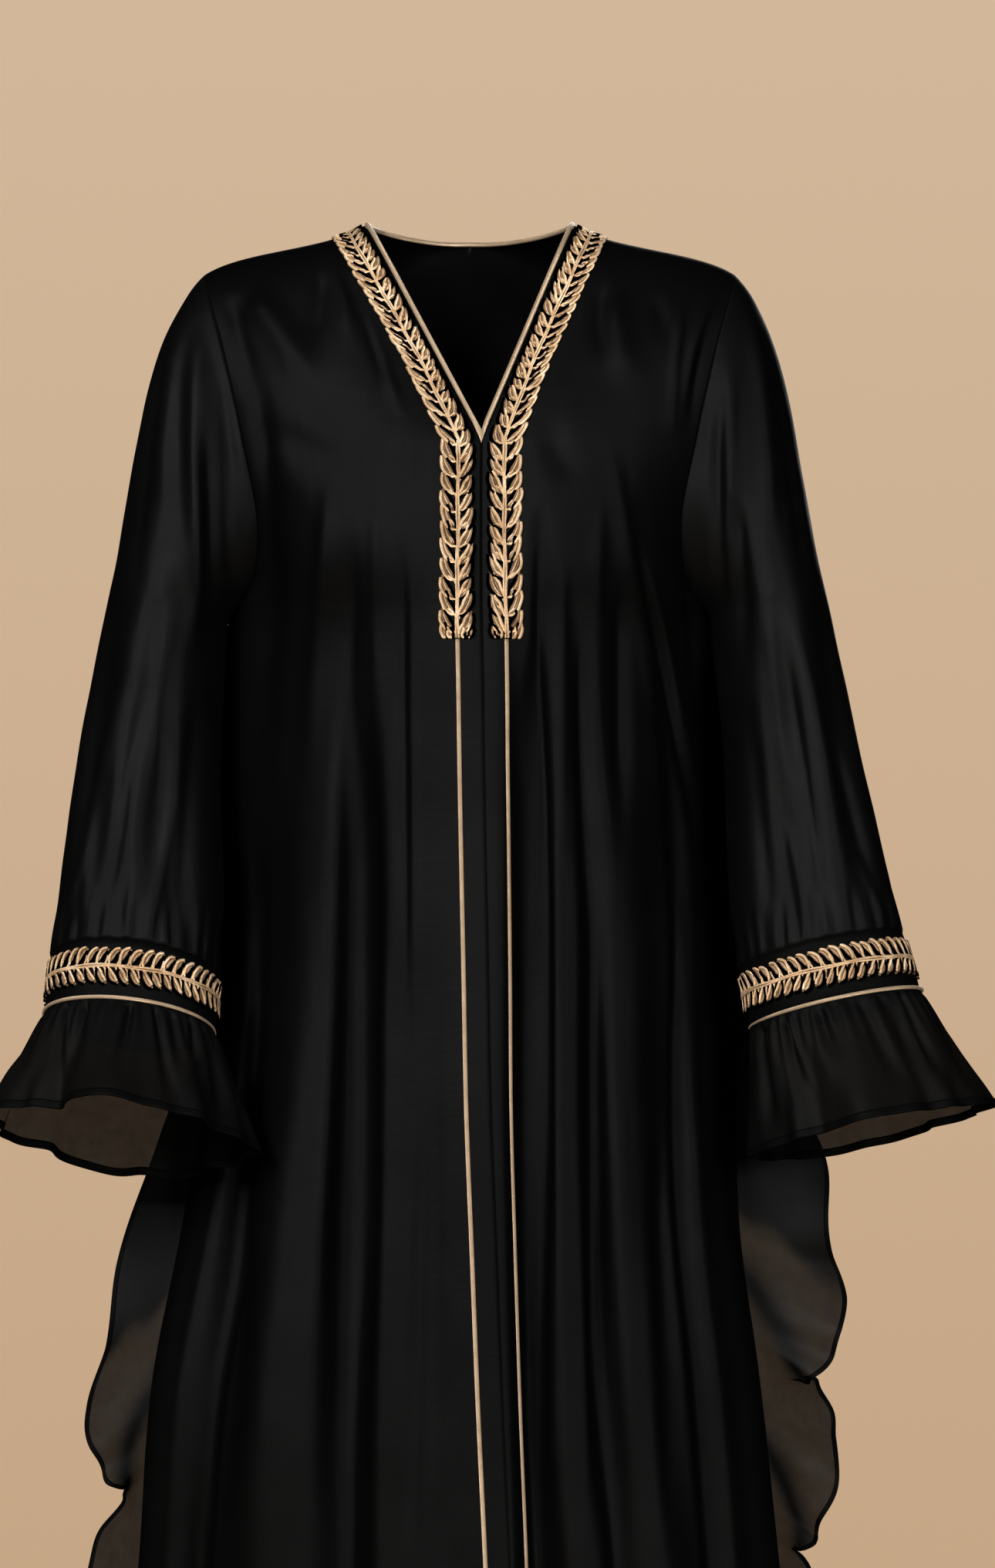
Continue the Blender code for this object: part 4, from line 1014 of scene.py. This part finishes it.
def main_sleeves():
    for name, side in SIDES.items():
        grid = sleeve_rows(name, SLEEVE_COLUMNS)
        middle = grid.mean(axis=1, keepdims=True)
        normals = turn_to(grid_normals(grid, True), grid - middle)
        lift = rumple(grid, SLEEVE_SWELLS, side)
        for face in (FRONT, BACK):
            faced = ease(-0.05, 0.25, face * normals[..., 1])
            lift += CREASE_GAIN * crease_lift(grid, SLEEVE_CREASES[name, face]) * faced
        rows = np.linspace(0, 1, len(grid))[:, None]
        angle = np.linspace(0, 2 * math.pi, SLEEVE_COLUMNS, endpoint=False)
        clear = 1 - 0.7 * bell(angle_gap(np.degrees(angle), 180) / 38)[None, :]
        fade = ease(0, 0.05, rows) * (1 - ease(0.93, 1.0, rows)) * clear
        grid = grid + normals * (lift * fade)[..., None]
        normals = turn_to(grid_normals(grid, True), grid - middle)
        sleeve = shell("cloth_sleeve_" + name, grid, normals, SLEEVE_CLOTH, wrap=True)
        finish_piece(sleeve, "black_cloth", "sleeve_" + name)


def band_rows(side, top, seam, angles, shares):
    """Rows of a cuff band, at shares of the way from the sleeve to the ruffle."""
    first, last = ring(side, top, angles), ring(side, seam, angles)
    return np.array([first + (last - first) * share for share in shares])


def main_cuffs():
    for name, side in SIDES.items():
        top = sections_of(SLEEVES[name])[-1]
        seam, hem = sections_of(CUFFS[name])
        angles = np.linspace(0, 2 * math.pi, 160, endpoint=False)
        shares = np.linspace(0, 1, 10)
        grid = band_rows(side, top, seam, angles, shares)
        normals = turn_to(grid_normals(grid, True), grid - grid.mean(axis=1, keepdims=True))
        swell = np.sin(math.pi * shares)[:, None] * (1 + 0.4 * np.sin(9 * angles)[None, :])
        grid = grid + normals * (BAND_SWELL * swell)[..., None]
        band = shell("cloth_cuff_band_" + name, grid, normals, BINDING_CLOTH, True, BAND_THICKNESS)
        finish_piece(band, "black_cloth", "cuff_band_" + name)
        make_ruffle(name, side, seam, hem)


def pleats(degrees, shares, side):
    """Uneven pleats that open out below the gathered seam, from 0 to 1 deep."""
    rng = np.random.default_rng(SEED + 20 + side)
    total = np.zeros((len(shares), len(degrees)))
    angle = 0.0
    while angle < 352:
        ranges = (PLEAT_WIDTH, PLEAT_LENGTH, PLEAT_DRIFT, (0.5, 1.0))
        width, length, drift, depth = (rng.uniform(*ends) for ends in ranges)
        spread_out = width * (0.55 + 0.75 * shares)
        gap = angle_gap(degrees[None, :], (angle + drift * shares)[:, None])
        fall = ease(0.0, 0.10, shares) * (1 - ease(0.55 * length, 1.15 * length, shares))
        total += depth * fall[:, None] * bell(gap / spread_out[:, None])
        angle += width * rng.uniform(*PLEAT_SPACING)
    return total


def hem_band(name, grid, closed):
    """A narrow turned hem: opaque cloth on both sides of the sheet's edge."""
    normals = grid_normals(grid, closed)
    faces = grid_faces(*grid.shape[:2], closed)
    band = make_mesh(name, grid + normals * (BAND_THICKNESS / 2), faces, BINDING_CLOTH)
    thicken(band, BAND_THICKNESS)
    pick = grid.shape[1] // 3
    if Vector(normals[0, pick]).dot(band.data.polygons[pick].normal) < 0:
        band.data.flip_normals()
    finish_piece(band, "black_cloth")
    return band


def make_ruffle(name, side, seam, hem):
    """A sheer frill, unevenly gathered at the cuff, with a narrow turned hem."""
    angles = np.linspace(0, 2 * math.pi, RUFFLE_COLUMNS, endpoint=False)
    degrees = np.degrees(angles)
    sway = np.zeros(RUFFLE_COLUMNS)
    for angle, half, depth in zip(*RUFFLE_WAVES[name].values()):
        sway += depth * bell(angle_gap(degrees, angle) / half)
    drift = 0.55 * np.sin(2 * angles + side) + 0.35 * np.sin(5 * angles + 2)
    shares = np.linspace(0, 1, 60)
    tucks = pleats(degrees, shares, side)
    rows = []
    for t, tuck in zip(shares, tucks):
        section = seam + (hem - seam) * t
        section[3:5] = seam[3:5] + (hem[3:5] - seam[3:5]) * t**FLARE_POWER
        loop = ring(side, section, angles)
        outward = unit(loop - ring_centre(side, section))
        near = math.sin(math.pi * min(t, 0.8))
        gather = GATHER_DEPTH * near * np.cos(GATHERS * angles + drift)
        fine = FINE_GATHER_DEPTH * ease(0, 0.06, t) * (1 - ease(0.12, 0.45, t))
        gather += fine * np.cos(2 * GATHERS * angles + 2.2 * drift + 1)
        hemline = sum(
            depth * ease(start, 1, t) * np.sin(count * angles + slip * drift)
            for depth, start, count, slip in RUFFLE_HEMLINE
        )
        lift = gather - PLEAT_DEPTH * tuck + hemline + sway * t**1.3
        rows.append(loop + outward * lift[:, None])
    grid = np.array(rows)
    faces = grid_faces(len(grid), RUFFLE_COLUMNS, True)
    ruffle = make_mesh("cloth_cuff_ruffle_" + name, grid, faces, SHEER_CLOTH)
    finish_piece(ruffle, "sheer_cloth", "cuff_ruffle_" + name)
    length = np.linalg.norm(np.diff(grid, axis=0), axis=2).sum(axis=0)
    last = len(grid) - 1
    low = last - RUFFLE_HEM / length * last
    column = np.arange(RUFFLE_COLUMNS)
    strip = []
    for share in np.linspace(0, 1, 5):
        at = low + (last - low) * share
        i = np.clip(at.astype(int), 0, last - 1)
        part = (at - i)[:, None]
        strip.append(grid[i, column] * (1 - part) + grid[i + 1, column] * part)
    bound = hem_band("hem_ruffle_" + name, np.array(strip), True)


def tube(points, normals, half_width, half_height, closed, sides):
    """Points, faces and thread coordinates of a cord that lies along a path."""
    points = np.asarray(points)
    if closed:
        tangent = unit(np.roll(points, -1, axis=0) - np.roll(points, 1, axis=0))
    else:
        tangent = unit(np.gradient(points, axis=0))
    across = unit(np.cross(normals, tangent))
    lift = np.cross(tangent, across)
    turns = np.linspace(0, 2 * math.pi, sides, endpoint=False)
    size_across = np.broadcast_to(half_width, len(points))[:, None, None]
    size_up = np.broadcast_to(half_height, len(points))[:, None, None]
    loops = points[:, None] + size_across * np.cos(turns)[:, None] * across[:, None]
    loops = loops + size_up * np.sin(turns)[:, None] * lift[:, None]
    count = len(points)
    faces = []
    for i in range(count if closed else count - 1):
        after = (i + 1) % count
        for j in range(sides):
            k = (j + 1) % sides
            faces.append((i * sides + j, i * sides + k, after * sides + k, after * sides + j))
    if not closed:
        faces.append(tuple(range(sides)))
        faces.append(tuple(range((count - 1) * sides, count * sides))[::-1])
    around = np.arange(sides) * THREAD_TURN
    uvs = np.stack(np.meshgrid(around, distances_along(points))[::-1], axis=-1).reshape(-1, 2)
    return loops.reshape(-1, 3), faces, uvs


def flat_cord(name, points, normals, half_width, half_height, closed, sides=10):
    points, faces, uvs = tube(points, normals, half_width, half_height, closed, sides)
    return make_mesh(name, points, [face[::-1] for face in faces], GOLD_PIPING, uvs)


class Stitching:
    """Collects many cords into one mesh, each in one of its threads."""

    def __init__(self):
        self.points = []
        self.faces = []
        self.uvs = []
        self.threads = []
        self.count = 0

    def add(self, made, thread=0):
        points, faces, uvs = made
        self.points.append(points)
        self.faces += [tuple(self.count + number for number in face[::-1]) for face in faces]
        self.uvs.append(uvs)
        self.threads += [thread] * len(faces)
        self.count += len(points)

    def build(self, name, *materials):
        points, uvs = np.concatenate(self.points), np.concatenate(self.uvs)
        made = make_mesh(name, points, self.faces, materials[0], uvs)
        for material in materials[1:]:
            made.data.materials.append(material)
        made.data.polygons.foreach_set("material_index", self.threads)
        return made


class Strip:
    """A band of cloth that embroidery lies on, read by distance along and across it."""

    def __init__(self, grid, normals, half_width):
        self.along = distances_along(grid[:, grid.shape[1] // 2])
        self.length = self.along[-1]
        self.grid = grid
        self.normals = normals
        self.across = np.linspace(-half_width, half_width, grid.shape[1])

    def at(self, u, v, height=0.0):
        """Points and normals at distances u along and v across."""
        row = np.interp(u, self.along, np.arange(len(self.along)))
        column = np.interp(v, self.across, np.arange(len(self.across)))
        i = np.clip(row.astype(int), 0, len(self.along) - 2)
        j = np.clip(column.astype(int), 0, len(self.across) - 2)
        a = (row - i)[:, None]
        b = (column - j)[:, None]
        found = []
        for field in (self.grid, self.normals):
            near = field[i, j] * (1 - b) + field[i, j + 1] * b
            far = field[i + 1, j] * (1 - b) + field[i + 1, j + 1] * b
            found.append(near * (1 - a) + far * a)
        normal = unit(found[1])
        return found[0] + normal * np.asarray(height).reshape(-1, 1), normal


def spine_at(t, base, length, reach, side):
    """The middle line of a leaf: out from the stem, then up beside it."""
    u = base[0] + length * t**1.08
    v = base[1] + side * reach * (1 - (1 - t) ** 2.4)
    return np.stack([u, v], axis=1)


def leaf(stitching, strip, base, side, length, reach, width, radius, rng):
    """One looped leaf: an outline of couched cord, with finer stitches inside."""
    half = 13
    t = np.concatenate([np.linspace(0.0, 1.0, half), np.linspace(1.0, 0.0, half)[1:-1]])
    sign = np.concatenate([np.ones(half), -np.ones(half - 2)])
    wobble = 1 + 0.10 * np.sin(t * rng.uniform(8, 13) + rng.uniform(0, 6))
    lift = radius * (0.9 + 0.35 * np.sin(np.pi * t))
    for shift, thread, thin in LEAF_CORDS:
        size = radius * thin
        place = t if shift == 1.0 else 0.10 + 0.80 * t
        spine = spine_at(place, base, length, reach, side)
        ahead = spine_at(place + 0.01, base, length, reach, side) - spine
        across = np.stack([-ahead[:, 1], ahead[:, 0]], axis=1)
        across /= np.linalg.norm(across, axis=1, keepdims=True)
        swell = width * shift * np.sin(np.pi * np.clip(place, 0, 1) ** 0.72) ** 0.75 * wobble
        line = spine + across * (sign * swell)[:, None]
        limit = strip.across[-1] - size
        u = np.clip(line[:, 0], size, strip.length - size)
        v = np.clip(line[:, 1], -limit, limit)
        if shift < 0:
            u, v = u[:half], v[:half]
            points, normals = strip.at(u, v, size * 0.5)
            stitching.add(tube(points, normals, size, size * 0.8, False, 5), thread)
            continue
        height = lift if shift == 1.0 else size * 0.4
        points, normals = strip.at(u, v, height)
        sides = 6 if shift == 1.0 else 5
        stitching.add(tube(points, normals, size, size * 0.9, True, sides), thread)


def arch(stitching, strip, base, side, length, reach, radius):
    """A short cord from the stem out to the leaf's side."""
    t = np.linspace(0, 1, 7)
    u = base[0] + length * t**0.7
    v = base[1] + side * reach * t**1.3
    limit = strip.across[-1] - radius
    u = np.clip(u, radius, strip.length - radius)
    points, normals = strip.at(u, np.clip(v, -limit, limit), radius * 0.9)
    stitching.add(tube(points, normals, radius, radius * 0.9, False, 5))


def vine(stitching, strip, shape, radius, rng):
    """A stem of two cords with pairs of leaves that point to the strip's end."""
    end = strip.length
    u = np.linspace(0.0008, end - 0.0008, max(int(end / 0.003), 8))
    for shift in (-STEM_SET, STEM_SET):
        sway = 0.00035 * np.sin(u * 140 + shift * 900)
        points, normals = strip.at(u, shift + sway, radius * 1.3)
        stitching.add(tube(points, normals, *STEM_STITCH, False, 6))
    u = shape["first"]
    while u < end - 0.5 * np.interp(u / end, shape["share"], shape["length"]):
        share = u / end
        pitch, length, reach, width = (
            np.interp(share, shape["share"], shape[name])
            for name in ("pitch", "length", "reach", "width")
        )
        for side in (-1, 1):
            long = length * rng.uniform(0.90, 1.10)
            out = reach * rng.uniform(0.92, 1.06)
            wide = width * rng.uniform(0.86, 1.14)
            start = u + rng.uniform(-0.07, 0.07) * pitch + (side > 0) * 0.10 * pitch
            base = (max(start, 0.0006), side * 0.0012)
            size = radius * rng.uniform(0.92, 1.08)
            leaf(stitching, strip, base, side, long, out, wide, size, rng)
            arch_base = (base[0] + 0.58 * long, side * 0.0010)
            arch(stitching, strip, arch_base, side, 0.30 * long, 0.62 * out, radius * 0.72)
        u += pitch * rng.uniform(0.94, 1.06)
    for side, place, length in shape["foot"]:
        base = (0.0004, side * place)
        leaf(stitching, strip, base, side, length, 0.0016, 0.0021, radius, rng)


def main_trims(quarters):
    """Embroidery and cords on the front panels, piping round the neck."""
    span = HEM_DROP - UNDERARM_DROP
    end_place = 1 + (TRIM_END_DROP - UNDERARM_DROP) / span
    rng = np.random.default_rng(SEED)
    for name, side in SIDES.items():
        places = np.concatenate([np.linspace(end_place, 1, 12)[:-1], np.linspace(1, 0, 150)])
        middle = TRIM_NECK_MIDDLE + (TRIM_MIDDLE - TRIM_NECK_MIDDLE) * ease(0.36, 0.52, places)
        distances = middle[:, None] + np.linspace(-TRIM_HALF_WIDTH, TRIM_HALF_WIDTH, 27)
        cloth = quarters[name, FRONT][0]
        grid = read_cloth(cloth, FRONT, places, distances)
        normals = turn_to(grid_normals(grid), np.array([0, -1.0, 0]))
        strip = Strip(grid, normals, TRIM_HALF_WIDTH)
        stitching = Stitching()
        vine(stitching, strip, NECK_VINE, NECK_STITCH, rng)
        trim = stitching.build("embroidery_neck_" + name, GOLD_THREAD, DARK_THREAD)
        finish_piece(trim, "gold_embroidery", "neck_trim_" + name)
        places = 1 + (np.linspace(TRIM_END_DROP, HEM_DROP, 300) - UNDERARM_DROP) / span
        line = read_cloth(cloth, FRONT, places, TRIM_MIDDLE + np.array([-0.001, 0.0, 0.001]))
        ways = turn_to(grid_normals(line), np.array([0, -1.0, 0]))[:, 1]
        points = line[:, 1] + ways * FRONT_PIPING_RAISE
        cord = flat_cord("piping_front_" + name, points, ways, *FRONT_PIPING, False)
        finish_piece(cord, "gold_piping", "front_cord_" + name)
    make_neck_piping(quarters)


def make_neck_piping(quarters):
    """Piping on the neck's edge, with a mitred corner at the V."""
    edge, inner, ways = [], [], []
    # The front's rows leave a little room before the V's point, where the corner is.
    ahead = FRONT, np.append(np.linspace(0, 0.474, 58), 0.5), (0, -1.0, 0.2)
    behind = BACK, np.linspace(0, BACK_NECK_END, 40), (0, 0.3, 1.0)
    legs = (("right", 1, ahead), ("left", -1, ahead), ("left", 1, behind), ("right", -1, behind))
    for name, order, (face, places, toward) in legs:
        rows = read_cloth(quarters[name, face][0], face, places, [0.0, 0.003, 0.006])
        normals = turn_to(grid_normals(rows), np.array(toward))
        pick = slice(None, -1) if order == 1 else slice(None, 0, -1)
        edge.append(rows[pick, 0])
        inner.append(rows[pick, 1])
        ways.append(normals[pick, 0])
    corner = len(edge[0])
    edge, inner, ways = (np.concatenate(part) for part in (edge, inner, ways))
    before = unit(edge - np.roll(edge, 1, axis=0))
    after = unit(np.roll(edge, -1, axis=0) - edge)
    centres = []
    for number, way in enumerate(ways):
        toward = np.array([0, 0, 1.0]) if number == corner else edge[number] - inner[number]
        total = np.zeros(3)
        for course in (before[number], after[number]):
            outward = unit(np.cross(way, course))
            total += outward if outward @ toward >= 0 else -outward
        set_out = total * (2 / (total @ total)) * NECK_PIPING_SET
        centres.append(edge[number] - way * NECK_PIPING_SINK + set_out)
    # The corner's section is cut on the mitre, and its tip hangs a little below.
    centres[corner] = centres[corner] - np.array(CORNER_HANG)
    reach = np.full(len(centres), NECK_PIPING)
    reach[corner] = CORNER_REACH
    piping = flat_cord("piping_neck", centres, ways, reach, NECK_PIPING, True, 12)
    finish_piece(piping, "gold_piping", "neck_piping")


def main_cuff_trims():
    rng = np.random.default_rng(SEED + 1)
    for name, side in SIDES.items():
        top = sections_of(SLEEVES[name])[-1]
        seam = sections_of(CUFFS[name])[0]
        angles = np.linspace(0, 2 * math.pi, 241) + math.radians(200)
        shares = np.linspace(CUFF_TRIM_SPAN[1], CUFF_TRIM_SPAN[0], 25)
        grid = band_rows(side, top, seam, angles, shares).transpose(1, 0, 2)
        middle = (ring_centre(side, top) + ring_centre(side, seam)) / 2
        normals = turn_to(grid_normals(grid), grid - middle)
        grid = grid + normals * 0.0006
        half = np.linalg.norm(grid[0, 0] - grid[0, -1]) / 2
        strip = Strip(grid, normals, half)
        stitching = Stitching()
        vine(stitching, strip, CUFF_VINE, CUFF_STITCH, rng)
        trim = stitching.build("embroidery_cuff_" + name, GOLD_THREAD, DARK_THREAD)
        finish_piece(trim, "gold_embroidery", "cuff_trim_" + name)
        axis = unit(side * np.cross(*ring_ways(side, seam)))
        angles = np.linspace(0, 2 * math.pi, 200, endpoint=False)
        loop = ring(side, seam, angles)
        out = unit(loop - ring_centre(side, seam))
        # Next to the body the piping is pressed flat against the seam.
        pressed = bell(angle_gap(np.degrees(angles), 180) / 70)
        stand = CUFF_PIPING_SET[0] - CUFF_PIPING_SET[1] * pressed
        centres = loop + out * stand[:, None] - axis * CUFF_PIPING_RISE
        radius = CUFF_PIPING[0] - CUFF_PIPING[1] * pressed
        piping = flat_cord("piping_cuff_" + name, centres, out, radius, radius, True, 12)
        finish_piece(piping, "gold_piping", "cuff_piping_" + name)


def flounce_rows(name):
    """Points of a flounce whose hem folds over itself between its lobes, and its cover."""
    side = SIDES[name]
    span = HEM_DROP - UNDERARM_DROP
    keys, reaches = FLOUNCE_REACH[name]["drop"], FLOUNCE_REACH[name]["reach"]
    turns = FLOUNCE_TURNS[name]
    w = np.linspace(0, 1, 34)
    rows, tucks_and_shade = [], []
    for drop in np.linspace(keys[0], keys[-1], 520):
        seam = row_ends(side, FRONT, 1 + (drop - UNDERARM_DROP) / span)[3]
        reach = max(float(smooth(drop, keys, reaches)), 0.0)
        near = np.array([drop - FLOUNCE_STEP, drop + FLOUNCE_STEP])
        steep = np.diff(smooth(near, keys, reaches))[0] / (2 * FLOUNCE_STEP) / FLOUNCE_STEEP
        swing = FLOUNCE_SWING * np.clip(steep, -1, 1)
        phase = math.pi * np.interp(drop, turns, np.arange(len(turns)))
        ends = ease(keys[0], keys[0] + 0.05, drop)
        x = reach * w - 0.0015 * (1 - w)
        x = x + FLOUNCE_RIPPLE[0] * ends * w**2 * math.sin(4.3 * phase + side)
        y = swing * w**FLOUNCE_SWING_POWER + FLOUNCE_BACK_SET * w
        y = y + FLOUNCE_RIPPLE[1] * ends * w**1.2 * np.sin(5.2 * phase + 2.6 * w + 1.1)
        z = -FLOUNCE_FALL * reach * w + FLOUNCE_FOLD * ends * w**1.6 * math.sin(phase)
        rows.append(seam + np.stack([side * x, y, z], axis=1))
        cover = np.zeros(len(w))
        for notch in turns[::2]:
            middle = notch - FLOUNCE_SLANT * (1 - w)
            cover = np.maximum(cover, np.exp(-(((drop - middle) / FLOUNCE_TUCK) ** 2)))
        # Its top, down to a wavy line, is opaque: partly gathered layers, partly painted shade.
        top = FLOUNCE_LAYERS_AND_SHADE_TOP[name] + 0.04 * w + 0.004 * np.sin(9 * w + side)
        tucks_and_shade.append(np.maximum(cover, 1 - ease(top - 0.010, top + 0.012, drop)))
    return np.array(rows), np.array(tucks_and_shade)


def main_flounces():
    for name in SIDES:
        grid, tucks_and_shade = flounce_rows(name)
        faces = grid_faces(len(grid), grid.shape[1])
        flounce = make_mesh("cloth_side_flounce_" + name, grid, faces, TUCKED_AND_SHADED_CLOTH)
        layer = flounce.data.attributes.new("cover", "FLOAT", "POINT")
        layer.data.foreach_set("value", tucks_and_shade.ravel().astype(np.float32))
        finish_piece(flounce, "sheer_cloth", "side_flounce_" + name)
        strip = []
        for row in grid:
            along = distances_along(row)
            wanted = along[-1] - np.minimum(FLOUNCE_HEM, along[-1]) * np.linspace(1, 0, 4)
            strip.append(at_distances(wanted, along, row))
        bound = hem_band("hem_flounce_" + name, np.array(strip), False)


def plain_material(name, colour, rough):
    tree = Tree(bpy.data.materials.new(name))
    place = tree.add("TexCoord", "Object")
    cloud = tree.add("TexNoise", "Fac", Vector=place, Scale=3.0, Detail=3.0)
    darker = tuple(value * 0.94 for value in colour)
    tone = tree.ramp(cloud, ((0.3, darker), (0.7, colour)))
    tree.put(tree.nodes["Principled BSDF"], Roughness=rough, Base_Color=tone)
    return tree.owner


def add_area(name, place, target, size, power, colour):
    light = bpy.data.lights.new(name, "AREA")
    light.shape = "DISK"
    light.size = size
    light.energy = power
    light.color = colour
    holder = bpy.data.objects.new(name, light)
    holder.location = place
    holder.rotation_euler = (Vector(target) - Vector(place)).to_track_quat("-Z", "Y").to_euler()
    bpy.context.scene.collection.objects.link(holder)


def set_stage():
    turns = np.linspace(0, 2 * math.pi, 96, endpoint=False)
    points = [(1.6 * math.cos(turn), 1.6 * math.sin(turn), FLOOR_LEVEL) for turn in turns]
    paint = plain_material("floor_paint", (0.62, 0.47, 0.33), 0.7)
    make_mesh("floor", points, [tuple(range(len(turns)))], paint)
    world = Tree(bpy.data.worlds.new("studio"))
    # The backdrop is painted light: lighter towards the top and darker below, as the lamps would
    # light it.
    place = world.add("TexCoord", "Generated")
    height = world.add("SeparateXYZ", "Z", Vector=place)
    reach = world.add("MapRange", "Result", Value=height, From_Min=-0.18, From_Max=0.18)
    tone = world.ramp(reach, ((0.0, (0.560, 0.385, 0.240)), (1.0, (0.650, 0.475, 0.325))))
    sky = world.put(world.nodes["Background"], Color=tone, Strength=1.0).outputs["Background"]
    # The backdrop is bright to look at, while the room gives little light.
    warm = (1.0, 0.93, 0.86, 1)
    room = world.add("Background", "Background", Color=warm, Strength=ROOM_LIGHT)
    ray = world.add("LightPath", "Is Camera Ray")
    both = world.join("MixShader", "Shader", 1, room, sky, Fac=ray)
    world.put(world.nodes["World Output"], Surface=both)
    bpy.context.scene.world = world.owner
    bpy.context.scene.view_settings.view_transform = "Standard"
    for light in LIGHTS:
        add_area(*light)


def set_camera():
    camera = bpy.data.cameras.new("camera")
    camera.sensor_width = 36
    camera.lens = camera.sensor_width * -CAMERA_PLACE[1] / CAMERA_VIEW
    holder = bpy.data.objects.new("camera", camera)
    holder.location = CAMERA_PLACE
    holder.rotation_euler = (math.radians(90), 0, 0)
    bpy.context.scene.collection.objects.link(holder)
    bpy.context.scene.camera = holder


set_camera()
quarters = main_body()
main_sleeves()
main_cuffs()
main_trims(quarters)
main_cuff_trims()
main_flounces()
set_stage()
